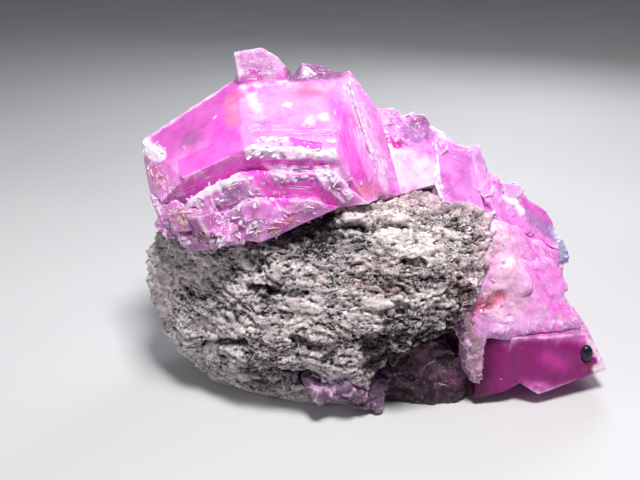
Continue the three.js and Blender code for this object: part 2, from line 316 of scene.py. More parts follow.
def placed(name: str, data: bpy.types.ID) -> bpy.types.Object:
    """Puts a new object into the scene.

    Args:
        name: Its name.
        data: Its mesh, lamp or camera.

    Returns:
        The object.
    """
    made = bpy.data.objects.new(name, data)
    bpy.context.scene.collection.objects.link(made)
    return made


@dataclass(frozen=True)
class Band:
    """A stripe round a straight line, or a slanted four-sided patch beside it, in millimetres.

    Inside it the painted colour and values move to the ones given here.

    Attributes:
        start: Where the line starts.
        end: Where it ends.
        width: How far the stripe reaches from its line, or the patch off its plane.
        tint: The colour.
        pale: How cloudy or pale it is.
        rough: How broken it is.
        stain: How rusty it is.
        dark: How dark it is, much of it painted shade in hollows, cracks and under overhangs.
        lines: The strengths of the cleavage lines across, rising and falling.
        side: The patch's other side, from the line.
        lift: How far the surface is raised.
        soft: How soft its border is.
        ragged: How uneven its border is.
        last: Whether it is laid over the whitened edges too.
    """

    start: Point
    end: Point
    width: float
    tint: Tint | None = None
    pale: float | None = None
    rough: float | None = None
    stain: float | None = None
    dark: float | None = None
    lines: Point | None = None
    side: Point | None = None
    lift: float = 0.0
    soft: float = 0.25
    ragged: float = 0.25
    last: bool = False

    def reach(self, points: np.ndarray) -> np.ndarray:
        """How far each point is outside the band.

        Args:
            points: Points in millimetres, one a row.

        Returns:
            Distances in millimetres, negative inside.
        """
        start, end = np.array(self.start), np.array(self.end)
        along = end - start
        if self.side is None:
            share = np.clip((points - start) @ along / max(along @ along, 1e-9), 0, 1)
            return np.linalg.norm(points - start - share[:, None] * along, axis=1) - self.width
        side = np.array(self.side)
        off = np.cross(along, side)
        off /= np.linalg.norm(off)
        shares = (points - start) @ np.linalg.inv(np.array([along, side, off]))
        sizes = np.array([np.linalg.norm(along), np.linalg.norm(side)])
        outside = (np.abs(shares[:, :2] - 0.5) - 0.5) * sizes
        return np.maximum(outside.max(axis=1), np.abs(shares[:, 2]) - self.width)

    def weight(self, points: np.ndarray, noise: Noise) -> np.ndarray:
        """How much each point belongs to the band.

        Args:
            points: Points in millimetres, one a row.
            noise: Gives the band its uneven border.

        Returns:
            Values from 0 outside to 1 inside.
        """
        far = self.reach(points)
        near = far < self.soft + 3 * self.ragged
        weight = np.zeros(len(points))
        uneven = far[near] + self.ragged * noise.rough(points[near] + 9.1, 1.3, 3, 0.65)
        weight[near] = 1 - smooth_step(-self.soft, self.soft, uneven)
        return weight

    def targets(self) -> dict[Mark, float]:
        """The values that the band gives.

        Returns:
            A value for each mark that the band changes.
        """
        across, rise, fall = self.lines or (None, None, None)
        given = (self.pale, self.rough, self.stain, self.dark, across, rise, fall)
        return {mark: value for mark, value in zip(Mark, given) if value is not None}


@dataclass
class Coat:
    """The colour and the values painted on a skin's points.

    Attributes:
        tint: The colours, one a row.
        marks: The values of each mark.
    """

    tint: np.ndarray
    marks: dict[Mark, np.ndarray]

    @classmethod
    def plain(cls, count: int, tint: Tint) -> "Coat":
        """A coat of one colour with all values at nought."""
        return cls(np.tile(np.array(tint.value), (count, 1)), {mark: np.zeros(count) for mark in Mark})

    def blend(self, tint: Tint, share: np.ndarray) -> None:
        """Moves the colour towards another.

        Args:
            tint: The other colour.
            share: How far, from 0 to 1, for each point.
        """
        share = np.clip(share, 0, 1)[:, None]
        self.tint = self.tint * (1 - share) + np.array(tint.value) * share

    def lay(self, band: Band, weight: np.ndarray) -> None:
        """Lays a band over the coat.

        Args:
            band: The band.
            weight: How much each point belongs to it.
        """
        if band.tint:
            self.blend(band.tint, weight)
        for mark, target in band.targets().items():
            self.marks[mark] = self.marks[mark] * (1 - weight) + target * weight

    def extend(self, rows: np.ndarray, whites: np.ndarray) -> None:
        """Adds points that copy others' values.

        Args:
            rows: Which points are copied.
            whites: How white each added point is.
        """
        white = np.array(Tint.WHITE.value)
        added = self.tint[rows] * (1 - whites[:, None]) + white * whites[:, None]
        self.tint = np.concatenate([self.tint, added])
        for mark in Mark:
            self.marks[mark] = np.concatenate([self.marks[mark], self.marks[mark][rows]])

    def put_on(self, mesh: bpy.types.Mesh) -> None:
        """Stores the coat on a mesh's points.

        Args:
            mesh: The mesh.
        """
        for mark, values in self.marks.items():
            layer = mesh.attributes.new(mark.value, "FLOAT", "POINT")
            layer.data.foreach_set("value", np.clip(values, 0, 1).astype(np.float32))
        layer = mesh.attributes.new(TINT_LAYER, "FLOAT_COLOR", "POINT")
        full = np.concatenate([self.tint, np.ones((len(self.tint), 1))], axis=1)
        layer.data.foreach_set("color", full.astype(np.float32).ravel())


@dataclass
class Surface:
    """The skin of a piece as arrays.

    Attributes:
        mesh: The mesh that it is read from and written to.
        points: The points in millimetres, one a row.
        normals: Their outward directions.
        edges: The two points of each edge.
    """

    mesh: bpy.types.Mesh
    points: np.ndarray = field(init=False)
    normals: np.ndarray = field(init=False)
    edges: np.ndarray = field(init=False)

    def __post_init__(self) -> None:
        """Reads the mesh."""
        count = len(self.mesh.vertices)
        self.points = np.zeros(count * 3, np.float32)
        self.mesh.vertices.foreach_get("co", self.points)
        self.points = self.points.reshape(-1, 3).astype(float) / MM
        pairs = np.zeros(len(self.mesh.edges) * 2, np.int32)
        self.mesh.edges.foreach_get("vertices", pairs)
        self.edges = pairs.reshape(-1, 2)
        self.read_normals()

    def read_normals(self) -> None:
        """Takes the points' outward directions from the mesh as it is now."""
        flat = np.zeros(len(self.mesh.vertices) * 3, np.float32)
        self.mesh.vertex_normals.foreach_get("vector", flat)
        self.normals = flat.reshape(-1, 3).astype(float)

    def write(self) -> None:
        """Writes the points back and renews the normals."""
        self.mesh.vertices.foreach_set("co", (self.points * MM).astype(np.float32).ravel())
        self.mesh.update()
        self.read_normals()

    def push(self, height: np.ndarray | float) -> None:
        """Moves every point outwards.

        Args:
            height: How far, in millimetres, for each point.
        """
        self.points = self.points + self.normals * np.reshape(height, (-1, 1))
        self.write()

    def average(self, values: np.ndarray, rounds: int) -> np.ndarray:
        """Smooths values over the surface.

        Args:
            values: One value or one row for each point.
            rounds: How often each point takes its neighbours' mean.

        Returns:
            The smoothed values.
        """
        first, second = self.edges[:, 0], self.edges[:, 1]
        count = len(self.points)
        degree = np.bincount(first, minlength=count) + np.bincount(second, minlength=count)
        columns = np.reshape(values, (count, -1)).astype(float)
        for _ in range(rounds):
            summed = np.empty_like(columns)
            for column in range(columns.shape[1]):
                line = columns[:, column]
                summed[:, column] = np.bincount(first, line[second], count)
                summed[:, column] += np.bincount(second, line[first], count)
            columns = 0.5 * columns + 0.5 * summed / np.maximum(degree, 1)[:, None]
        return columns.reshape(np.shape(values))

    def relief(self, rounds: int) -> np.ndarray:
        """How far each point stands above the smoothed surface, in millimetres, less than 0 in a hollow."""
        return np.einsum("ij,ij->i", self.points - self.average(self.points, rounds), self.normals)


class Value:
    """A socket that takes part in Python expressions."""

    def __init__(self, sheet: "Sheet", socket: bpy.types.NodeSocket) -> None:
        """Wraps a socket of a sheet."""
        self.sheet = sheet
        self.socket = socket

    def _with(self, operation: str, *others: "Value | float", first: bool = True) -> "Value":
        """Adds a Math node on this value and the others."""
        terms = (self, *others) if first else (*others, self)
        return self.sheet.node("ShaderNodeMath", {"operation": operation}, dict(enumerate(terms)))

    def __add__(self, other: "Value | float") -> "Value":
        """Sum."""
        return self._with("ADD", other)

    __radd__ = __add__

    def __sub__(self, other: "Value | float") -> "Value":
        """Difference."""
        return self._with("SUBTRACT", other)

    def __rsub__(self, other: "Value | float") -> "Value":
        """Difference, the other way round."""
        return self._with("SUBTRACT", other, first=False)

    def __mul__(self, other: "Value | float") -> "Value":
        """Product."""
        return self._with("MULTIPLY", other)

    __rmul__ = __mul__

    def __abs__(self) -> "Value":
        """Size without sign."""
        return self._with("ABSOLUTE")

    def clamp(self) -> "Value":
        """Limits the value to 0 to 1."""
        return self.sheet.node("ShaderNodeClamp", {}, {"Value": self})

    def larger(self, other: "Value | float") -> "Value":
        """The larger of two values."""
        return self._with("MAXIMUM", other)

    def step(self, low: float, high: float) -> "Value":
        """A soft step from 0 at low to 1 at high."""
        inputs = {"Value": self, "From Min": low, "From Max": high}
        return self.sheet.node("ShaderNodeMapRange", {"interpolation_type": "SMOOTHSTEP"}, inputs)


class Sheet:
    """A material's node tree, built from calls."""

    def __init__(self, name: str) -> None:
        """Starts an empty material.

        Args:
            name: The material's name.
        """
        self.material = bpy.data.materials.new(name)
        self.material.use_nodes = True
        self.tree = self.material.node_tree
        self.tree.nodes.clear()
        self.output = self.tree.nodes.new("ShaderNodeOutputMaterial")
        self._place = self.node("ShaderNodeTexCoord", {}, {}, "Object")

    def node(self, kind: str, settings: dict[str, Any], inputs: dict[Any, Any], output: Any = 0) -> Value:
        """Adds a node.

        Args:
            kind: The node's type.
            settings: Its properties, set first.
            inputs: Values or links for its sockets, by name or number.
            output: The socket that is given back, by name or number.

        Returns:
            The chosen output.
        """
        made = self.tree.nodes.new(kind)
        for key, value in settings.items():
            setattr(made, key, value)
        for key, value in inputs.items():
            socket = made.inputs[key]
            if isinstance(value, Value):
                self.tree.links.new(value.socket, socket)
            elif isinstance(value, tuple) and len(value) == 3 and len(socket.default_value) == 4:
                socket.default_value = (*value, 1)
            else:
                socket.default_value = value
        return Value(self, made.outputs[output])

    def mark(self, mark: Mark) -> Value:
        """A value painted on the piece."""
        return self.node("ShaderNodeAttribute", {"attribute_name": mark.value}, {}, "Fac")

    def grain(self, size: float, detail: float = 3.0, rough: float = 0.55) -> Value:
        """Noise from 0 to 1.

        Args:
            size: Its size in millimetres.
            detail: How many finer sizes are added.
            rough: Their strength.

        Returns:
            The noise value.
        """
        inputs = {"Vector": self._place, "Scale": 1 / (size * MM), "Detail": detail, "Roughness": rough}
        return self.node("ShaderNodeTexNoise", {"noise_dimensions": "3D"}, inputs)

    def tint(self) -> Value:
        """The colour painted on the piece."""
        return self.node("ShaderNodeAttribute", {"attribute_name": TINT_LAYER}, {}, "Color")

    def _turned(self, along: Point, sizes: Point) -> Value:
        """Places turned along a direction and measured in a pattern's sizes.

        Args:
            along: The direction.
            sizes: The pattern's size in millimetres along it and in the two directions across.

        Returns:
            The places.
        """
        scale = tuple(size * MM for size in sizes)
        inputs = {"Vector": self._place, "Rotation": rib_frame(along).to_euler(), "Scale": scale}
        return self.node("ShaderNodeMapping", {"vector_type": "TEXTURE"}, inputs)

    def drawn(self, along: Point, sizes: Point, detail: float = 2.0) -> Value:
        """Noise from 0 to 1 drawn out along a direction.

        Args:
            along: The direction.
            sizes: Its size in millimetres along it and in the two directions across.
            detail: How many finer sizes are added.

        Returns:
            The noise.
        """
        inputs = {"Vector": self._turned(along, sizes), "Scale": 1.0, "Detail": detail, "Roughness": 0.6}
        return self.node("ShaderNodeTexNoise", {"noise_dimensions": "3D"}, inputs)

    def flakes(self, along: Point, sizes: Point) -> Value:
        """A random value from 0 to 1 for each of many small angular flakes with bent borders.

        Args:
            along: The flakes' long direction.
            sizes: Their size in millimetres along it and in the two directions across.

        Returns:
            The flakes' values.
        """
        place = self._turned(along, sizes)
        inputs = {"Vector": place, "Scale": 0.8, "Detail": 2.0}
        push = self.node("ShaderNodeTexNoise", {"noise_dimensions": "3D"}, inputs, "Color")
        inputs = {0: push, 1: (0.5, 0.5, 0.5), 2: place}
        place = self.node("ShaderNodeVectorMath", {"operation": "MULTIPLY_ADD"}, inputs)
        return self.node("ShaderNodeTexVoronoi", {}, {"Vector": place, "Scale": 1.0}, "Color")

    def cells(self, size: float, output: str) -> Value:
        """A pattern of small scattered cells.

        Args:
            size: The cells' size in millimetres.
            output: "Color" for a random value in each, "Distance" for how far its middle is.

        Returns:
            The cells' values.
        """
        inputs = {"Vector": self._place, "Scale": 1 / (size * MM)}
        return self.node("ShaderNodeTexVoronoi", {}, inputs, output)

    def mix(self, share: Value | float, first: Value | Colour, second: Value | Colour) -> Value:
        """Mixes two colours."""
        return self.node("ShaderNodeMix", {"data_type": "RGBA"}, {0: share, 6: first, 7: second}, 2)

    def filter(self, colour: Value, strength: Colour) -> Value:
        """A colour with each of its channels made stronger or weaker."""
        return self.node("ShaderNodeVectorMath", {"operation": "MULTIPLY"}, {0: colour, 1: strength})

    def bump(self, height: Value, distance: float, strength: float = 1.0) -> Value:
        """A normal tilted by a height pattern.

        Args:
            height: The pattern.
            distance: How many millimetres a height of 1 stands for.
            strength: Its strength.

        Returns:
            The normal.
        """
        inputs = {"Height": height, "Distance": distance * MM, "Strength": strength}
        return self.node("ShaderNodeBump", {}, inputs)

    def finish(self, shader: Value) -> bpy.types.Material:
        """Links the shader and gives the finished material."""
        self.tree.links.new(shader.socket, self.output.inputs["Surface"])
        return self.material


@dataclass(frozen=True)
class CalciteFinish:
    """Translucent calcite: painted body colour, cleavage lines, veils, stains, and painted shade in the
    shadow near the rock.

    Attributes:
        name: The material's name.
        lines: The directions of the three kinds of cleavage line.
        glow: How far red, green and blue light spread inside, against glow_mm.
        glow_mm: How far light spreads inside, in millimetres.
        index: How strongly it bends light.
        cloud: The size of its clouds, in millimetres.
        wisp: The size of its wisps, in millimetres.
        speck: The size of its specks, in millimetres.
        grain: The size of its sugary grains, in millimetres.
        relief: The height of its fine relief, in millimetres.
        gloss: How rough a clean face is.
        shine: How strongly it reflects.
        sugar: How white the broken zones are.
        deeper: Filters the body colour in the clearer clouds.
        lighter: Filters it in the airy ones.
        stain: The colour of rusty stains.
        painted_shade: The near-black colour painted as shade where the calcite lies in shadow.
    """

    name: str
    lines: tuple[Point, ...]
    glow: Point = (1.0, 0.35, 0.8)
    glow_mm: float = 0.45
    index: float = 1.55
    cloud: float = 2.4
    wisp: float = 0.9
    speck: float = 0.26
    grain: float = 0.34
    relief: float = 0.10
    gloss: float = 0.2
    shine: float = 0.38
    sugar: float = 0.14
    deeper: Colour = (0.86, 0.55, 0.80)
    lighter: Colour = (1.07, 1.5, 1.1)
    stain: Colour = (0.36, 0.10, 0.075)
    painted_shade: Colour = (0.03, 0.010, 0.018)

    def make(self) -> bpy.types.Material:
        """Builds the material.

        Returns:
            The material.
        """
        sheet = Sheet(self.name)
        pale, rough, stain, dark, *weights = (sheet.mark(mark) for mark in Mark)
        cloud = sheet.grain(self.cloud, 5.0, 0.62)
        wisp = sheet.grain(self.wisp, 4.0, 0.7)
        fine = sheet.grain(self.speck, 3.0, 0.7)
        body = sheet.tint()
        body = sheet.mix(cloud.step(0.48, 0.68) * 0.8, body, sheet.filter(body, self.deeper))
        airy = (1 - cloud).step(0.50, 0.70) * 0.5 + wisp.step(0.56, 0.7) * 0.25
        body = sheet.mix(airy, body, sheet.filter(body, self.lighter))
        white = (pale + (wisp - 0.5) * 1.2 + (fine - 0.5) * 1.1).step(0.45, 0.72) * 0.58 + pale * 0.30
        grit = sheet.cells(self.grain, "Color")
        white = white.larger(rough * (grit + fine - 0.5).step(0.45, 0.8) * self.sugar)
        ridge = fine * 0.2
        for weight, along, thick in zip(weights, self.lines, (0.12, 0.2, 0.2)):
            for size, share in ((1.0, 0.15), (2.0, 0.12)):
                sizes = (0.4 * size / thick ** 0.5 + size, size * thick, size * thick)
                line = (sheet.drawn(along, sizes) + weight * share).step(0.66, 0.71)
                line = line * weight.step(0.02, 0.3)
                white = white.larger(line * 0.7)
                ridge = ridge.larger(line * 0.8)
        body = sheet.mix(white.clamp(), body, Tint.WHITE.value)
        spots = (wisp + fine * 1.2 - 0.6).step(0.36, 0.62)
        body = sheet.mix((stain * (spots * 1.2 + 0.15)).clamp(), body, self.stain)
        # painted shade: where the dark mark is painted, the body turns near black
        body = sheet.mix((dark * (0.7 + fine * 0.6)).clamp(), body, self.painted_shade)
        dull = (self.gloss + white * 0.3 + rough * 0.15 + (fine - 0.5) * 0.15).clamp()
        height = ridge + rough * (grit * 0.3 + sheet.cells(0.5, "Distance") * 0.5) + wisp * 0.2
        inputs = {
            "Base Color": body,
            "Roughness": dull,
            "IOR": self.index,
            "Specular IOR Level": self.shine,
            "Subsurface Weight": 0.8,
            "Subsurface Radius": self.glow,
            "Subsurface Scale": self.glow_mm * MM,
            "Normal": sheet.bump(height, self.relief, 0.8),
        }
        return sheet.finish(sheet.node("ShaderNodeBsdfPrincipled", {}, inputs))


@dataclass(frozen=True)
class RockFinish:
    """Foliated rock, peppered with dark and pale grains, with shade painted into its hollows and creases.

    Attributes:
        name: The material's name.
        leaf: The direction of its leaves.
        salt: The colour of the pale grains.
        dark: The colour of dark grains and threads, and of the shade painted into hollows and creases.
        rust: The colour of rusty stains.
        shade: Filters the rock's colour where it is dull.
        patch: The size of its patches, in millimetres.
        relief: The height of its fine relief, in millimetres.
    """

    name: str
    leaf: Point = (1.0, 0.1, -0.14)
    salt: Colour = (0.95, 0.85, 0.85)
    dark: Colour = (0.010, 0.007, 0.009)
    rust: Colour = (0.26, 0.085, 0.05)
    shade: Colour = (0.30, 0.27, 0.28)
    patch: float = 4.4
    relief: float = 0.2

    @staticmethod
    def thread(pattern: Value, fineness: float, start: float, full: float) -> Value:
        """Thin dark threads where a pattern passes its middle value.

        Args:
            pattern: The pattern, from 0 to 1.
            fineness: How thin the threads are.
            start: Where across a thread it begins to show, from 0 at its edge to 1 at its middle.
            full: Where it is fully dark.

        Returns:
            The threads, from 0 to 1.
        """
        return (1 - abs(pattern - 0.5) * fineness).step(start, full)

    @staticmethod
    def rim_highlight(pattern: Value, fineness: float) -> Value:
        """Painted highlights: pale lines beside the threads of a pattern."""
        return (1 - abs(pattern - 0.56) * fineness).clamp()

    def make(self) -> bpy.types.Material:
        """Builds the material.

        Returns:
            The material.
        """
        sheet = Sheet(self.name)
        pale, rough, stain, dark, *_ = (sheet.mark(mark) for mark in Mark)
        patch = sheet.grain(self.patch, 6.0, 0.64)
        seam = sheet.drawn(self.leaf, (2.2, 1.8, 0.7), 6.0)
        flake = sheet.flakes(self.leaf, (0.5, 0.42, 0.22))
        chip = sheet.flakes(self.leaf, (0.2, 0.18, 0.12))
        crack = sheet.drawn(self.leaf, (2.8, 2.4, 1.0), 7.0)
        crease = sheet.drawn(self.leaf, (1.0, 0.9, 0.5), 5.0)
        fissure = sheet.drawn(self.leaf, (0.9, 0.7, 0.42), 3.0)
        worn = seam + patch * 0.6 + rough * 0.08
        threads = self.thread(crack, 38, 0.2, 0.55).larger(self.thread(crease, 32, 0.1, 0.55) * 0.9)
        threads = threads * worn.step(0.78, 0.92)
        hairs = self.thread(fissure, 40, 0.1, 0.6) * (worn.step(0.68, 0.92) * 0.6 + 0.3)
        threads = threads.larger(hairs) * (1.3 - pale * 0.8).clamp()
        # painted highlights on the lips of the cracks
        rim_highlights = self.rim_highlight(crack, 20) * 0.16 + self.rim_highlight(fissure, 22) * 0.3
        tone = (0.5 - patch) * 1.1 + (seam - 0.5) * 0.5 + (flake - 0.5) * 0.4 + (chip - 0.5) * 0.5 + 0.74
        tone = tone + (pale - 0.4) * 0.5 + rim_highlights
        base = sheet.tint()
        shaded = sheet.filter(base, self.shade)
        salted = sheet.mix(0.55, base, self.salt)
        rusty = sheet.grain(1.5, 4.0, 0.75).step(0.58, 0.70) * (rough * 0.5 + 0.2)
        base = sheet.mix((1 - tone).step(0.42, 0.8) * 0.85, base, shaded)
        base = sheet.mix(tone.step(0.48, 0.80), base, salted)
        base = sheet.mix((stain * (rusty * 1.5 + 0.6) + rusty).clamp(), base, self.rust)
        specks = (1 - tone + rough * 0.05 - pale * 0.05).step(0.70, 0.80)
        # dark grains and threads, plus painted shade wherever the dark mark lies
        blackened = specks * 0.8 + threads * 0.95 + dark * (1.35 - tone * 0.5)
        base = sheet.mix(blackened.clamp(), base, self.dark)
        inputs = {
            "Base Color": base,
            "Roughness": 0.86,
            "Specular IOR Level": 0.3,
            "Normal": sheet.bump(tone - threads * 0.7, self.relief, 0.9),
        }
        return sheet.finish(sheet.node("ShaderNodeBsdfPrincipled", {}, inputs))


@dataclass(frozen=True)
class BeadFinish:
    """Glossy black bead."""

    name: str
    black: Colour = (0.006, 0.006, 0.012)
    bloom: Colour = (0.03, 0.03, 0.06)

    def make(self) -> bpy.types.Material:
        """Builds the material.

        Returns:
            The material.
        """
        sheet = Sheet(self.name)
        inputs = {
            "Base Color": sheet.mix(sheet.grain(0.4, 2.0).step(0.5, 0.8), self.black, self.bloom),
            "Roughness": 0.28,
            "Specular IOR Level": 0.3,
            "Coat Weight": 0.15,
            "Coat Roughness": 0.08,
        }
        return sheet.finish(sheet.node("ShaderNodeBsdfPrincipled", {}, inputs))


@dataclass
class Piece:
    """One grown piece: a fine copy of its CAD node, worked over and dressed.

    Attributes:
        node: The CAD node whose place it takes.
        slot: Its material slot.
        cell: How fine its skin is, in millimetres.
        seed: Picks its random fields.
        tint: Its main colour.
        sharp: Whether the skin keeps the node's sharp edges.
        melt: How many rounds of smoothing take the edges off all over.
        swell: How far the skin is moved out first, in millimetres.
        soften: Where the edges are taken off more.
        bands: What is painted and raised at the listed places, in this order.
    """

    node: str
    slot: str
    cell: float
    seed: int
    tint: Tint
    sharp: bool = True
    melt: int = 0
    swell: float = 0.16
    soften: tuple[Band, ...] = ()
    bands: tuple[Band, ...] = ()

    def grow(self) -> bpy.types.Object:
        """Makes the piece's object: the CAD node's solid under an even fine skin.

        Returns:
            The new object.
        """
        shape = bmesh.new()
        shape.from_mesh(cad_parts[self.node].data)
        bmesh.ops.remove_doubles(shape, verts=shape.verts, dist=1e-6)
        name = self.node + "_skin"
        made = placed(name, mesh_of(shape, name))
        remesh = made.modifiers.new("even skin", "REMESH")
        remesh.use_remove_disconnected = False
        if self.sharp:
            remesh.mode = "SHARP"
            remesh.octree_depth = 8
            remesh.scale = max(made.dimensions) / (2**remesh.octree_depth * self.cell * MM)
        else:
            remesh.mode = "VOXEL"
            remesh.voxel_size = self.cell * MM
        fine = bpy.data.meshes.new_from_object(made.evaluated_get(bpy.context.evaluated_depsgraph_get()))
        made.modifiers.clear()
        made.data = fine
        fine.name = name
        return made

    def shape_skin(self, skin: Surface) -> Coat:
        """Works the fine skin over.

        Args:
            skin: The skin.

        Returns:
            The painted colour and values.
        """
        raise NotImplementedError

    def dress(self, mesh: bpy.types.Mesh, coat: Coat) -> None:
        """Finishes the mesh and gives it its materials.

        Args:
            mesh: The worked-over skin.
            coat: The painted colour and values, changed in place.
        """
        raise NotImplementedError

    def lay_bands(self, coat: Coat, noise: Noise, where: np.ndarray) -> np.ndarray:
        """Lays the bands over the coat.

        Args:
            coat: The coat, changed in place.
            noise: Gives the bands their uneven borders.
            where: The points before the relief is made.

        Returns:
            How far the bands lift each point, in millimetres.
        """
        lift = np.zeros(len(where))
        for band in self.bands:
            weight = band.weight(where, noise)
            coat.lay(band, weight)
            lift += band.lift * weight
        return lift

    def lay_last_bands(self, coat: Coat, noise: Noise, where: np.ndarray) -> None:
        """Lays the last bands once more, over everything painted since.

        Args:
            coat: The coat, changed in place.
            noise: Gives the bands their uneven borders.
            where: The points before the relief was made.
        """
        for band in self.bands:
            if band.last:
                coat.lay(band, band.weight(where, noise))

    def build(self) -> bpy.types.Object:
        """Makes, shapes and dresses the piece.

        Returns:
            The finished object.
        """
        made = self.grow()
        mesh = made.data
        skin = Surface(mesh)
        if self.melt:
            skin.points = skin.average(skin.points, self.melt)
        if self.soften:
            noise = Noise(self.seed)
            share = np.max([band.weight(skin.points, noise) for band in self.soften], axis=0)[:, None]
            skin.points = skin.points * (1 - share) + skin.average(skin.points, SOFTEN_ROUNDS) * share
        skin.write()
        skin.push(self.swell)
        coat = self.shape_skin(skin)
        mesh.materials.clear()
        self.dress(mesh, coat)
        coat.put_on(mesh)
        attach(made, BODY)
        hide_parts(self.node)
        return made


@dataclass(frozen=True)
class Leaves:
    """One size of the rock's leaves.

    Attributes:
        size: Their size along X, Y and Z in millimetres.
        step: How much they differ in height, in millimetres.
        crack: How wide the cracks between them are, against their size.
        depth: How deep the cracks are, in millimetres.
        shift: Moves the pattern, in millimetres.
    """

    size: Point
    step: float
    crack: float
    depth: float
    shift: float = 0.0


